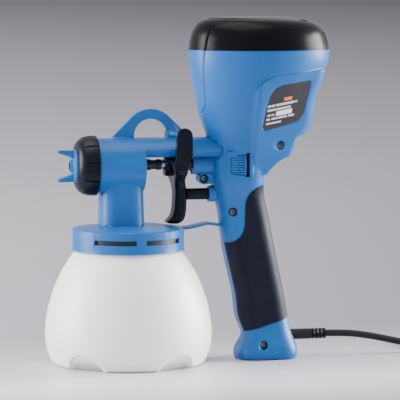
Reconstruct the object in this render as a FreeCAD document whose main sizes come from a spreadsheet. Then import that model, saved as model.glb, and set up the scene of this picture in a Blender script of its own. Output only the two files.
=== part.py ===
"""Hand-held turbine paint sprayer, built as an assembly of its real pieces.

Frame: millimetres, +Z up. The origin is the centre of the cup's foot on the
table, the nozzle points along -X, the handle and the cord are at +X, and the
plane of symmetry is Y = 0. Every size sits in the sheet and every piece is
tied to it.
"""

import FreeCAD, Part
import math
import os

import Sketcher

DOC = FreeCAD.newDocument("PaintSprayer")
V = FreeCAD.Vector
SHEET = DOC.addObject("Spreadsheet::Sheet", "Sizes")
SUB_PARTS = {}


class Size:
    """A length: its value in millimetres and the sheet text that gives it."""

    def __init__(self, value, text):
        self.value = float(value)
        self.text = text

    def _join(self, other, sign, value):
        return Size(value, "(" + self.text + " " + sign + " " + as_size(other).text + ")")

    def __add__(self, other):
        return self._join(other, "+", self.value + as_size(other).value)

    def __radd__(self, other):
        return as_size(other) + self

    def __sub__(self, other):
        return self._join(other, "-", self.value - as_size(other).value)

    def __rsub__(self, other):
        return as_size(other) - self

    def __mul__(self, other):
        return self._join(other, "*", self.value * as_size(other).value)

    def __rmul__(self, other):
        return as_size(other) * self

    def __truediv__(self, other):
        return self._join(other, "/", self.value / as_size(other).value)

    def __neg__(self):
        return Size(-self.value, "(0 - " + self.text + ")")


def as_size(amount):
    """Return a plain number as a Size, and a Size as it is."""
    if isinstance(amount, Size):
        return amount
    return Size(amount, format(float(amount), ".6f"))


class SizeTable:
    """The sheet's rows, read by name."""

    def __init__(self):
        self.row = 0

    def add(self, name, value, note):
        """Write one named value and its meaning into the sheet."""
        self.row += 1
        SHEET.set("A%d" % self.row, name)
        SHEET.set("B%d" % self.row, str(value))
        SHEET.setAlias("B%d" % self.row, name)
        SHEET.set("C%d" % self.row, note)
        setattr(self, name, Size(value, "Sizes." + name))

    def add_all(self, rows):
        for name, value, note in rows:
            self.add(name, value, note)


D = SizeTable()

# Common clearances and walls
D.add_all([
    ("wall", 2.2, "housing wall"),
    ("fit", 0.1, "gap between fixed pieces that are fitted together"),
    ("run_gap", 0.3, "gap between pieces that move on each other"),
    ("pin_gap", 0.06, "radial gap of a pin in its bore"),
])

# Spray axis, barrel, duct and cup column
D.add_all([
    ("axis_z", 173.2, "height of the spray axis"),
    ("barrel_radius", 23.8, "barrel and duct roof"),
    ("barrel_front", -30.0, "front of the full barrel"),
    ("barrel_rear", 12.0, "rear face of the barrel"),
    ("barrel_wall", 2.6, "barrel wall"),
    ("barrel_back", 3.4, "rear wall of the barrel"),
    ("spigot_radius", 20.6, "threaded front spigot"),
    ("spigot_front", -41.0, "front face of the spigot"),
    ("core_radius", 7.0, "fluid core in the barrel"),
    ("core_front", -35.0, "front face of the fluid core"),
    ("core_bore", 3.2, "bore of the fluid core"),
    ("duct_tail", 82.0, "closed end of the air duct"),
    ("duct_half_width", 19.0, "half width of the duct roof"),
    ("duct_band_half_width", 17.4, "half width of the duct's lower band"),
    ("duct_crease", 14.3, "crease above the spray axis"),
    ("duct_floor", 7.5, "duct floor above the spray axis"),
    ("duct_wall", 2.0, "duct wall"),
    ("mouth_length", 7.0, "air mouth in the duct roof"),
    ("mouth_half_width", 9.0, "half width of the air mouth"),
    ("column_x", -6.6, "centre of the cup column"),
    ("column_half_depth", 18.4, "column, half size along X at its top"),
    ("column_half_width", 18.0, "column, half size along Y"),
    ("column_flare", 0.9, "growth of the column down to the lid"),
    ("column_corner", 13.0, "corner radius of the column"),
    ("column_wall", 2.4, "column wall"),
    ("riser_radius", 5.5, "fluid riser in the column"),
    ("riser_bore", 3.0, "bore of the riser"),
    ("loop_x", 19.7, "centre of the hanging loop"),
    ("loop_rise", 25.4, "loop centre above the spray axis"),
    ("loop_outer", 23.5, "outer radius of the loop"),
    ("loop_hole", 14.9, "radius of the loop's hole"),
    ("loop_half_width", 2.9, "half thickness of the loop"),
    ("pivot_x", 45.3, "trigger pivot"),
    ("pivot_z", 199.3, "height of the trigger pivot"),
    ("pivot_boss", 4.2, "radius of the pivot boss"),
    ("pivot_boss_half", 21.7, "half length of the pivot boss"),
    ("pin_radius", 2.0, "trigger pin"),
])

# Retaining ring, air cap, nozzle and needle
D.add_all([
    ("ring_rear", -28.6, "rear face of the retaining ring"),
    ("ring_front", -47.0, "front face of the retaining ring"),
    ("ring_radius", 26.2, "retaining ring"),
    ("ring_round", 9.5, "rounding of the ring's front"),
    ("ring_flat", 16.2, "outer edge of the flat front face"),
    ("ring_knee", 5.6, "length of that rounding"),
    ("ring_knee_drop", 2.2, "its rear edge, inside the ring's radius"),
    ("ring_step", 0.5, "step behind the rounding"),
    ("ring_brow", 30.0, "flatter rounding behind the step"),
    ("ring_full", 13.0, "length up to the full radius"),
    ("ring_turned", 9.4, "the first groove lies this far round, in degrees"),
    ("ring_lip", 1.7, "thickness of the ring's front lip"),
    ("ring_groove", 1.6, "width of a grip groove"),
    ("ring_groove_depth", 1.5, "depth of a grip groove"),
    ("cap_radius", 14.5, "air cap disc"),
    ("cap_front", -48.8, "front face of the disc"),
    ("cap_plate", 2.4, "thickness of the air cap's disc"),
    ("cap_flange_radius", 18.6, "flange behind the ring's lip"),
    ("cap_flange", 3.9, "thickness of the flange"),
    ("cap_bore", 12.0, "inside of the air cap"),
    ("cap_boss_front", -52.0, "front of the centre boss"),
    ("cap_boss_radius", 6.0, "centre boss"),
    ("cap_hole", 3.4, "annular air outlet"),
    ("horn_tip", -62.0, "front of the air horns"),
    ("horn_root_height", 6.6, "inner edge of a horn at its root"),
    ("horn_tip_height", 11.4, "inner edge of a horn at its tip"),
    ("horn_half_width", 4.2, "half width of a horn"),
    ("nozzle_tip", -52.6, "front of the fluid nozzle"),
    ("nozzle_tip_radius", 1.8, "fluid nozzle at its tip"),
    ("nozzle_base_radius", 8.5, "flange of the fluid nozzle"),
    ("nozzle_flange", 2.5, "thickness of the nozzle flange"),
    ("nozzle_shank", 6.0, "nozzle thread in the core"),
    ("nozzle_bore", 0.95, "nozzle opening"),
    ("nozzle_shank_radius", 3.15, "thread of the nozzle"),
    ("nozzle_inside", 2.5, "bore behind the nozzle seat"),
    ("needle_radius", 2.0, "needle rod"),
    ("needle_tip_radius", 0.8, "needle tip"),
    ("needle_rear", 81.0, "rear end of the needle"),
    ("nut_radius", 4.9, "packing nut"),
    ("nut_rear", 29.5, "rear face of the packing nut"),
    ("packing_radius", 3.6, "packing rings"),
    ("packing_length", 5.0, "length of the packing"),
    ("guide_radius", 3.9, "steel needle guide"),
    ("guide_rear", 40.0, "rear face of the needle guide"),
    ("collar_radius", 5.6, "needle collar"),
    ("collar_length", 3.4, "needle collar"),
    ("nose_face", 56.8, "front face of the spring nose"),
    ("nose_radius", 9.4, "spring nose"),
    ("nose_bore", 6.4, "bore of the spring nose"),
    ("nose_seat", 76.0, "spring seat in the nose"),
    ("nose_rear", 79.0, "inner end of the nose"),
    ("spring_radius", 4.0, "mean radius of the needle spring"),
    ("spring_wire", 0.5, "half the wire of the needle spring"),
])

# Flow wheel
D.add_all([
    ("wheel_front", 86.8, "front of the flow wheel"),
    ("wheel_rear", 100.3, "rear of the flow wheel"),
    ("wheel_front_radius", 24.9, "small end of the flow wheel"),
    ("wheel_radius", 26.0, "large end of the flow wheel"),
    ("wheel_rim", 1.2, "plain rim at the large end"),
    ("wheel_room", 0.5, "gap round the flow wheel"),
    ("wheel_rear_room", 3.0, "gap behind the flow wheel"),
    ("screw_stop_radius", 3.0, "flow screw"),
    ("bulkhead", 2.6, "thickness of the screw's bearing wall"),
    ("pad_half_width", 24.4, "flat pad round the wheel window"),
    ("pad_front", 83.2, "front of the window pad"),
    ("pad_rear", 106.6, "rear of the window pad"),
    ("pad_ramp", 2.8, "slope in front of the window pad"),
    ("window_front_radius", 25.4, "small end of the room round the wheel"),
    ("window_rear_radius", 26.7, "large end of that room"),
    ("pad_up", 11.6, "window pad above the axis"),
    ("pad_down", 13.4, "window pad below the axis"),
])

# Trigger and switch plunger
D.add_all([
    ("arm_radius", 6.8, "round top of a trigger arm"),
    ("arm_inner", 22.2, "inner face of a trigger arm"),
    ("arm_thickness", 4.0, "trigger arm"),
    ("slot_half_width", 4.4, "needle slot in the trigger"),
    ("slot_floor", 168.4, "floor of the needle slot"),
    ("web_rear", 48.3, "rear face of the trigger web"),
    ("nub_radius", 3.5, "push nubs behind the web"),
    ("nub_outer", 4.9, "outer face of a push nub"),
    ("nub_inner", 2.5, "inner face of a push nub"),
    ("blade_rear", 51.0, "rear face of the blade"),
    ("plunger_z", 146.8, "height of the switch plunger"),
    ("plunger_radius", 5.1, "switch plunger"),
    ("plunger_end", 74.2, "inner end of the plunger's barrel"),
    ("stem_drop", 2.6, "stem below the plunger's axis"),
    ("stem_radius", 1.6, "plunger stem"),
    ("stem_end", 90.0, "inner end of the stem"),
    ("guide_boss_radius", 7.2, "switch boss on the handle"),
    ("guide_boss_front", 71.6, "front face of the switch boss"),
    ("switch_front", 102.4, "front of the power switch"),
    ("switch_length", 12.6, "power switch"),
    ("switch_half_width", 5.4, "power switch, half size along Y"),
    ("switch_bottom", 134.0, "underside of the power switch"),
    ("switch_top", 149.6, "top of the power switch"),
])

# Sections of the finger blade and yoke: level, front, rear, half width, corner
YOKE = [
    ("toe", 121.4, 36.0, 44.0, 7.0, 3.0),
    ("tip", 123.5, 33.9, 47.6, 9.0, 4.6),
    ("ball", 127.0, 37.2, 49.6, 10.0, 4.8),
    ("low", 133.0, 39.6, 50.6, 10.5, 4.8),
    ("finger", 140.0, 40.3, 51.0, 10.5, 4.8),
    ("blade", 150.0, 40.4, 51.0, 11.0, 4.8),
    ("root", 156.0, 39.6, 49.5, 12.6, 4.4),
    ("flare", 163.0, 38.2, 48.3, 20.0, 4.2),
    ("bridge", 170.0, 36.6, 48.3, 26.2, 3.0),
    ("top", 176.4, 36.6, 48.3, 26.2, 3.0),
]
for word, level, front, rear, half_wide, corner in YOKE:
    D.add("yoke_%s_level" % word, level, "height of the trigger's %s section" % word)
    D.add("yoke_%s_front" % word, front, "its front")
    D.add("yoke_%s_rear" % word, rear, "its rear")
    D.add("yoke_%s_half" % word, half_wide, "its half width")
    D.add("yoke_%s_corner" % word, corner, "its corner radius")

# Head, handle and foot. Sections of the turbine head: level, centre,
# half length along X and half width along Y.
HEAD = [
    ("rim", 273.5, 117.9, 62.8, 53.5),
    ("upper", 265.0, 117.4, 61.9, 52.9),
    ("shoulder", 257.0, 116.3, 60.0, 51.5),
    ("chest", 241.0, 111.2, 52.0, 46.4),
    ("waist", 223.0, 106.3, 43.8, 38.8),
    ("throat", 205.0, 103.3, 35.2, 31.2),
    ("collar", 191.0, 100.1, 28.2, 26.6),
    ("neck", 178.0, 98.0, 25.2, 23.4),
    ("root", 163.0, 98.0, 22.0, 20.2),
]
for word, level, centre, half_long, half_wide in HEAD:
    D.add("head_%s_level" % word, level, "height of the head's %s section" % word)
    D.add("head_%s_x" % word, centre, "its centre")
    D.add("head_%s_long" % word, half_long, "its half length")
    D.add("head_%s_wide" % word, half_wide, "its half width")

# Raised cheeks behind the head: the level word, how far the cheek stands out
# sideways, its rear face, its half width there and its bulge half way.
CHEEK = [
    ("shoulder", 2.7, 170.5, 35.0, 5.6),
    ("chest", 2.4, 166.2, 32.3, 1.8),
    ("waist", 3.2, 163.0, 26.9, 0.8),
    ("throat", 3.3, 160.5, 21.5, 0.6),
    ("collar", 2.4, 152.0, 18.0, 0.5),
    ("neck", 1.2, 148.0, 17.0, 0.5),
    ("root", -0.4, 136.0, 15.6, 0.5),
]
for word, proud, rear, rear_half, bulge in CHEEK:
    D.add("cheek_%s_proud" % word, proud, "cheek beyond the head, %s" % word)
    D.add("cheek_%s_rear" % word, rear, "rear face of the cheek, %s" % word)
    D.add("cheek_%s_rear_half" % word, rear_half, "half width at the rear, %s" % word)
    D.add("cheek_%s_bulge" % word, bulge, "bulge half way, %s" % word)
D.add_all([
    ("cheek_front", 107.0, "front edge of the raised cheek"),
    ("cheek_ramp", 8.0, "length of the slope in front of the cheek"),
    ("cheek_step", 6.0, "height of that slope"),
])

# Sections of the handle and its foot: level, centre, half depth, half width
# and corner radius.
HANDLE = [
    ("top", 192.0, 98.0, 21.0, 18.0, 15.5),
    ("crest", 184.0, 98.0, 22.6, 21.0, 17.0),
    ("wheel", 176.0, 98.0, 24.4, 23.2, 18.5),
    ("below", 164.0, 98.0, 23.4, 23.6, 17.0),
    ("web", 157.0, 98.0, 22.4, 22.8, 16.5),
    ("plunger", 147.0, 98.8, 21.7, 19.4, 15.0),
    ("hand", 136.0, 101.3, 21.5, 17.5, 14.0),
    ("palm", 105.0, 106.8, 22.5, 17.0, 14.0),
    ("heel", 52.0, 117.8, 22.4, 17.0, 14.0),
    ("end", 33.0, 121.3, 22.4, 17.0, 14.0),
    ("ankle", 21.0, 124.8, 22.2, 17.6, 14.0),
    ("flare", 9.0, 124.2, 27.1, 21.0, 15.0),
    ("foot", 3.5, 124.0, 27.4, 21.2, 15.0),
    ("sole", 0.0, 123.6, 25.4, 19.4, 14.0),
]
for word, level, centre, half_deep, half_wide, corner in HANDLE:
    D.add("grip_%s_level" % word, level, "height of the handle's %s section" % word)
    D.add("grip_%s_x" % word, centre, "its centre")
    D.add("grip_%s_deep" % word, half_deep, "its half depth")
    D.add("grip_%s_wide" % word, half_wide, "its half width")
    D.add("grip_%s_corner" % word, corner, "its corner radius")

D.add_all([
    ("groove_width", 1.1, "styling groove of the front panel"),
    ("groove_depth", 0.9, "depth of that groove"),
    ("panel_half_width", 26.5, "half width of the front panel at the rim"),
    ("panel_foot_half", 17.6, "half width of the front panel at its foot"),
    ("panel_foot", 218.0, "lower edge of the front panel"),
    ("panel_corner", 13.0, "corner radius of the front panel"),
    ("panel_depth", 94.0, "the front panel's groove ends before this X"),
    ("label_depth", 0.8, "thickness of the label plate"),
    ("grip_skin", 1.8, "thickness of the soft grip"),
    ("grip_proud", 0.35, "the soft grip stands out"),
    ("strip_half_width", 7.0, "half width of the bare front strip"),
    ("lobe_x", 131.3, "rear screw"),
    ("lobe_z", 190.0, "height of the rear screw"),
    ("lobe_radius", 14.0, "round lobe about the rear screw"),
    ("lug_x", 67.0, "front screw"),
    ("lug_z", 160.6, "height of the front screw"),
    ("lug_radius", 5.2, "front screw lug"),
    ("lug_half", 6.2, "half length of the lug"),
    ("mid_screw_x", 90.6, "middle screw"),
    ("mid_screw_z", 131.7, "height of the middle screw"),
    ("foot_screw_x", 117.8, "foot screw"),
    ("foot_screw_z", 12.9, "height of the foot screw"),
    ("screw_head", 3.2, "radius of a housing screw's head"),
    ("screw_head_height", 2.4, "height of that head"),
    ("screw_shank", 1.5, "radius of the shank"),
    ("screw_recess", 3.8, "radius of a screw recess"),
    ("screw_recess_depth", 4.2, "depth of a screw recess"),
    ("screw_boss", 4.7, "radius of a screw boss"),
])

# Top cover: level, centre, half length, half width
COVER = [
    ("skirt", 279.0, 117.5, 61.6, 52.4),
    ("side", 286.0, 117.0, 59.9, 50.6),
    ("brow", 292.0, 116.4, 57.0, 47.8),
    ("crown", 296.6, 115.2, 52.4, 43.4),
    ("dome", 299.6, 112.8, 45.5, 37.2),
    ("top", 301.6, 108.0, 36.0, 28.5),
]
for word, level, centre, half_long, half_wide in COVER:
    D.add("cover_%s_level" % word, level, "height of the cover's %s section" % word)
    D.add("cover_%s_x" % word, centre, "its centre")
    D.add("cover_%s_long" % word, half_long, "its half length")
    D.add("cover_%s_wide" % word, half_wide, "its half width")
D.add_all([
    ("cover_seam", 0.3, "gap between head and cover"),
    ("cover_screw_x", 152.4, "cover screws"),
    ("cover_screw_y", 20.0, "cover screws, off the middle"),
    ("cover_recess_floor", 291.0, "floor of the cover's screw recess"),
    ("intake_width", 2.6, "air slot in the rear of the cover"),
    ("intake_low", 277.5, "lower end of the air slots"),
    ("intake_high", 289.0, "upper end of the air slots"),
])

# Turbine and motor
D.add_all([
    ("motor_x", 116.0, "axis of the motor"),
    ("motor_base", 203.0, "underside of the motor plate"),
    ("plate_thickness", 2.5, "motor plate"),
    ("stator_bottom", 213.0, "underside of the field stack"),
    ("stator_height", 34.0, "field stack"),
    ("stator_radius", 26.0, "field stack"),
    ("armature_radius", 14.0, "armature"),
    ("armature_gap", 0.6, "air gap"),
    ("shaft_radius", 3.0, "motor shaft"),
    ("shaft_bottom", 196.0, "lower end of the shaft"),
    ("bearing_radius", 8.0, "ball bearings"),
    ("bearing_height", 5.0, "ball bearings"),
    ("commutator_radius", 9.0, "commutator"),
    ("fan_bottom", 257.4, "underside of the fan"),
    ("fan_height", 9.0, "fan"),
    ("fan_radius", 40.0, "fan"),
    ("fan_disc", 1.2, "discs of the fan"),
    ("shroud_radius", 46.0, "fan shroud"),
    ("shroud_wall", 1.6, "fan shroud"),
    ("inlet_radius", 17.0, "air inlet of the shroud"),
    ("filter_height", 6.0, "foam filter"),
    ("filter_radius", 36.0, "foam filter"),
])

# Cup and lid
D.add_all([
    ("cup_radius", 73.3, "widest radius of the cup"),
    ("cup_wide_z", 27.0, "height of the widest place"),
    ("cup_foot_radius", 66.8, "radius of the cup's foot"),
    ("cup_foot_round", 3.2, "rounding of the foot"),
    ("cup_shoulder_radius", 46.4, "shoulder under the lid"),
    ("cup_shoulder_z", 98.6, "height of the shoulder"),
    ("cup_bulge", 125.0, "radius of the cup's long side curve"),
    ("cup_lower_bulge", 50.0, "radius of the cup's lower curve"),
    ("cup_wall", 2.0, "cup wall"),
    ("cup_neck_radius", 42.9, "threaded neck of the cup"),
    ("cup_top", 115.6, "rim of the cup"),
    ("dent_radius", 20.0, "arched dents in the foot"),
    ("dent_reach", 11.4, "a dent's slope, outward"),
    ("dent_height", 17.0, "height of a dent"),
    ("dent_inset", 61.5, "inner end of a dent at the table"),
    ("dent_turn", 9.0, "angle of the first dent from +X"),
    ("lid_radius", 48.9, "cup lid"),
    ("lid_bottom", 99.2, "lower rim of the lid"),
    ("lid_rim", 118.2, "upper edge of the lid"),
    ("lid_crown", 121.3, "flat middle of the lid"),
    ("lid_crown_radius", 24.0, "radius of that flat"),
    ("lid_wall", 2.3, "lid wall"),
    ("lid_bead", 0.5, "bead at the lower rim"),
    ("lid_bead_height", 1.4, "height of the bead"),
    ("lid_chamfer", 0.9, "upper edge of the lid"),
    ("slot_low", 106.9, "lower edge of the lid's slots"),
    ("slot_height", 4.2, "lid slots"),
    ("slot_start", 5.1, "first end of a slot, in degrees"),
    ("slot_turn", 2.5, "turn of the lid's slots, in degrees"),
    ("slot_angle", 45.8, "length of a slot, in degrees"),
    ("thread_wall", 2.6, "black threaded ring in the lid"),
    ("gasket_height", 1.4, "cup gasket"),
    ("tube_radius", 4.0, "pickup tube"),
    ("tube_bore", 2.8, "bore of the pickup tube"),
    ("tube_bottom", 12.0, "lower end of the pickup tube"),
    ("filter_cup_radius", 7.0, "pickup filter"),
    ("filter_cup_height", 16.0, "pickup filter"),
    ("filter_cup_bottom", 7.0, "underside of the pickup filter"),
    ("stay_half_width", 7.0, "half width of the stay arm"),
    ("stay_thickness", 2.2, "stay arm"),
    ("stay_knee_x", 70.4, "knee of the stay arm"),
    ("stay_knee_z", 122.0, "height of the knee"),
    ("stay_end_x", 82.6, "rear end of the stay arm"),
    ("stay_end_z", 118.9, "height of that end"),
    ("stay_root_z", 117.0, "height at the lid"),
])

# Cord, strain relief and plug
D.add_all([
    ("cord_radius", 3.1, "cord"),
    ("cord_z", 19.8, "height of the cord's exit"),
    ("relief_rear", 179.0, "end of the strain relief"),
    ("relief_plain", 165.5, "end of its plain part"),
    ("relief_radius", 4.7, "strain relief"),
    ("relief_core", 3.8, "strain relief between its ribs"),
    ("relief_flange", 6.4, "flange inside the foot"),
    ("relief_front", 139.0, "inner end of the strain relief"),
    ("clamp_x", 127.0, "cord clamp"),
    ("clamp_half_width", 10.0, "cord clamp, half size along Y"),
    ("coil_x", 323.0, "centre of the put-away coil"),
    ("coil_outer", 48.4, "outer turn of the coil"),
    ("coil_pitch", 6.7, "distance between turns"),
    ("plug_length", 34.0, "plug body"),
    ("plug_half_width", 12.0, "plug body"),
    ("plug_half_height", 9.7, "plug body"),
    ("blade_length", 17.5, "plug blades"),
])
DOC.recompute()


# Helpers that tie objects to the sheet

def bind(target, prop, amount):
    """Set one property and, where the amount comes from the sheet, tie it."""
    amount = as_size(amount)
    if "." not in prop:
        setattr(target, prop, amount.value)
    if "Sizes." in amount.text:
        target.setExpression(prop, amount.text)


ALONG = {
    "X": FreeCAD.Rotation(V(0, 1, 0), 90),
    "Y": FreeCAD.Rotation(V(1, 0, 0), -90),
    "Z": FreeCAD.Rotation(),
}


def place(target, x=0, y=0, z=0, turn=None):
    """Place an object with its base tied to the sheet."""
    x, y, z = as_size(x), as_size(y), as_size(z)
    target.Placement = FreeCAD.Placement(V(x.value, y.value, z.value), turn or ALONG["Z"])
    bind(target, "Placement.Base.x", x)
    bind(target, "Placement.Base.y", y)
    bind(target, "Placement.Base.z", z)
    return target


def at_axis(axis, start, side, height):
    """Return x, y, z of a start point along an axis and its two other places."""
    if axis == "X":
        return start, side, height
    if axis == "Y":
        return side, start, height
    return side, height, start


def rod(name, radius, axis, start, end, side=0, height=0, angle=360, turn=None):
    """A cylinder along an axis; side and height are its two other places."""
    piece = DOC.addObject("Part::Cylinder", name)
    bind(piece, "Radius", radius)
    bind(piece, "Height", as_size(end) - start)
    piece.Angle = angle if not isinstance(angle, Size) else angle.value
    if isinstance(angle, Size):
        bind(piece, "Angle", angle)
    x, y, z = at_axis(axis, start, side, height)
    return place(piece, x, y, z, turn or ALONG[axis])


def cone(name, radius, end_radius, axis, start, end, side=0, height=0):
    """A truncated cone along an axis."""
    piece = DOC.addObject("Part::Cone", name)
    bind(piece, "Radius1", radius)
    bind(piece, "Radius2", end_radius)
    bind(piece, "Height", as_size(end) - start)
    x, y, z = at_axis(axis, start, side, height)
    return place(piece, x, y, z, ALONG[axis])


def block(name, x0, x1, y0, y1, z0, z1):
    """A box between two corners."""
    piece = DOC.addObject("Part::Box", name)
    bind(piece, "Length", as_size(x1) - x0)
    bind(piece, "Width", as_size(y1) - y0)
    bind(piece, "Height", as_size(z1) - z0)
    return place(piece, x0, y0, z0)


def fuse(name, pieces):
    joined = DOC.addObject("Part::MultiFuse", name)
    joined.Shapes = pieces
    return joined


def cut(name, base, tool):
    left = DOC.addObject("Part::Cut", name)
    left.Base = base
    left.Tool = tool
    return left


def cut_all(name, base, tools):
    return cut(name, base, fuse(name + "_tools", tools) if len(tools) > 1 else tools[0])


def common(name, pieces):
    shared = DOC.addObject("Part::MultiCommon", name)
    shared.Shapes = pieces
    return shared


def body_of(name):
    return DOC.addObject("PartDesign::Body", name)


def sketch_on(body, name, plane, offset=0):
    """A sketch on one of the body's own origin planes."""
    sketch = body.newObject("Sketcher::SketchObject", name)
    origin = {item.Role: item for item in body.Origin.OriginFeatures}
    sketch.AttachmentSupport = [(origin[plane], "")]
    sketch.MapMode = "FlatFace"
    offset = as_size(offset)
    sketch.AttachmentOffset = FreeCAD.Placement(V(0, 0, offset.value), FreeCAD.Rotation())
    if "Sizes." in offset.text:
        sketch.setExpression("AttachmentOffset.Base.z", offset.text)
    return sketch


def arc_through(start, end, radius):
    """The left-turning arc under half a turn between two points."""
    chord = end - start
    middle = (start + end) * 0.5
    left = V(-chord.y, chord.x, 0)
    left.normalize()
    sag = radius - math.sqrt(max(radius * radius - chord.Length ** 2 / 4, 0))
    return Part.Arc(start, middle - left * sag, end)


def outline(sketch, points):
    """A closed outline: each point is (x, y) or (x, y, radius of the arc after it).

    A positive radius turns left, a negative one turns right.
    """
    places = [V(as_size(p[0]).value, as_size(p[1]).value, 0) for p in points]
    count = len(points)
    ends = []
    for index, point in enumerate(points):
        start, end = places[index], places[(index + 1) % count]
        if len(point) == 3:
            radius = as_size(point[2]).value
            if radius > 0:
                sketch.addGeometry(arc_through(start, end, radius))
                ends.append((1, 2))
            else:
                sketch.addGeometry(arc_through(end, start, -radius))
                ends.append((2, 1))
        else:
            sketch.addGeometry(Part.LineSegment(start, end))
            ends.append((1, 2))
    for index, point in enumerate(points):
        for kind, amount in (("DistanceX", point[0]), ("DistanceY", point[1])):
            amount = as_size(amount)
            number = sketch.addConstraint(
                Sketcher.Constraint(kind, -1, 1, index, ends[index][0], amount.value))
            if "Sizes." in amount.text:
                sketch.setExpression("Constraints[%d]" % number, amount.text)
        after = (index + 1) % count
        sketch.addConstraint(
            Sketcher.Constraint("Coincident", index, ends[index][1], after, ends[after][0]))
    for index, point in enumerate(points):
        if len(point) == 3:
            radius = as_size(point[2])
            number = sketch.addConstraint(
                Sketcher.Constraint("Radius", index, abs(radius.value)))
            if "Sizes." in radius.text:
                text = radius.text if radius.value > 0 else "(0 - " + radius.text + ")"
                sketch.setExpression("Constraints[%d]" % number, text)
    return sketch


def revolved(name, points, axis="Z", x=0, y=0, z=0):
    """A body turned from a half section of (along or across, height) points."""
    body = body_of(name)
    sketch = outline(sketch_on(body, name + "_section", "XZ_Plane"), points)
    turned = body.newObject("PartDesign::Revolution", name + "_turned")
    turned.Profile = sketch
    turned.ReferenceAxis = (sketch, ["V_Axis" if axis == "Z" else "H_Axis"])
    turned.Angle = 360
    return place(body, x, y, z)


def slab(name, points, plane, half_thickness, x=0, y=0, z=0):
    """A body padded to both sides of one of its origin planes."""
    body = body_of(name)
    sketch = outline(sketch_on(body, name + "_outline", plane), points)
    padded = body.newObject("PartDesign::Pad", name + "_pad")
    padded.Profile = sketch
    padded.SideType = "Symmetric"
    bind(padded, "Length", as_size(half_thickness) * 2)
    return place(body, x, y, z)


def rounded_points(x, half_deep, half_wide, corner):
    """Points of a rounded rectangle with its arcs."""
    x0, x1 = x - half_deep, x + half_deep
    y0, y1 = -half_wide, as_size(half_wide)
    return [
        (x0 + corner, y0), (x1 - corner, y0, corner), (x1, y0 + corner),
        (x1, y1 - corner, corner), (x1 - corner, y1), (x0 + corner, y1, corner),
        (x0, y1 - corner), (x0, y0 + corner, corner),
    ]


def rounded_loft(name, sections, ruled=False):
    """A body lofted through rounded rectangles: (level, x, deep, wide, corner)."""
    body = body_of(name)
    sketches = []
    for number, (level, x, deep, wide, corner) in enumerate(sections):
        sketch = sketch_on(body, "%s_section_%d" % (name, number), "XY_Plane", level)
        sketches.append(outline(sketch, rounded_points(x, deep, wide, corner)))
    loft = body.newObject("PartDesign::AdditiveLoft", name + "_loft")
    loft.Profile = sketches[0]
    loft.Sections = sketches[1:]
    loft.Ruled = ruled
    return body


def ellipse_loft(name, sections):
    """A loft through ellipses: (level, x, half length, half width)."""
    rings = []
    for number, (level, x, half_long, half_wide) in enumerate(sections):
        ring = DOC.addObject("Part::Ellipse", "%s_ring_%d" % (name, number))
        bind(ring, "MajorRadius", half_long)
        bind(ring, "MinorRadius", half_wide)
        rings.append(place(ring, x, 0, level))
    loft = DOC.addObject("Part::Loft", name)
    loft.Sections = rings
    loft.Solid = True
    loft.Ruled = False
    return loft


def feature(name, shape):
    """A piece whose shape is worked out here from the sheet's values."""
    piece = DOC.addObject("Part::Feature", name)
    piece.Shape = shape
    return piece


def keep(name, piece):
    """Register a finished sub-part under its node name."""
    piece.Label = name
    SUB_PARTS[name] = piece
    return piece


AXIS = D.axis_z


# Turbine head, cheeks, handle and foot

def head_form(name, inset):
    """The round head down to the neck, drawn in by an inset."""
    sections = []
    for word, *_ in reversed(HEAD):
        level = getattr(D, "head_%s_level" % word)
        centre = getattr(D, "head_%s_x" % word)
        half_long = getattr(D, "head_%s_long" % word)
        half_wide = getattr(D, "head_%s_wide" % word)
        sections.append((level, centre, half_long - inset, half_wide - inset))
    return ellipse_loft(name, sections)


def handle_form(name, inset, floor=0):
    """The handle and its foot, drawn in by an inset, with a raised floor."""
    sections = []
    for word, *_ in reversed(HANDLE):
        level = getattr(D, "grip_%s_level" % word)
        if word == "sole":
            level = level + floor
        sections.append((
            level,
            getattr(D, "grip_%s_x" % word),
            getattr(D, "grip_%s_deep" % word) - inset,
            getattr(D, "grip_%s_wide" % word) - inset,
            getattr(D, "grip_%s_corner" % word) - inset))
    return rounded_loft(name, sections)


def rounded_polygon(points, radii, level):
    """A closed wire of lines and corner arcs at one level."""
    count = len(points)
    lines = []
    arcs = []
    for index in range(count):
        before = points[index - 1]
        corner = points[index]
        after = points[(index + 1) % count]
        back = (before - corner).normalize()
        ahead = (after - corner).normalize()
        angle = back.getAngle(ahead)
        reach = radii[index] / math.tan(angle / 2)
        start = corner + back * reach
        end = corner + ahead * reach
        bisector = (back + ahead).normalize()
        centre = corner + bisector * (radii[index] / math.sin(angle / 2))
        arcs.append((start, centre - bisector * radii[index], end))
    edges = []
    for index in range(count):
        start, middle, end = (V(p.x, p.y, level) for p in arcs[index])
        following = arcs[(index + 1) % count][0]
        edges.append(Part.Arc(start, middle, end).toShape())
        edges.append(Part.LineSegment(end, V(following.x, following.y, level)).toShape())
    return Part.Wire(edges)


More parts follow.
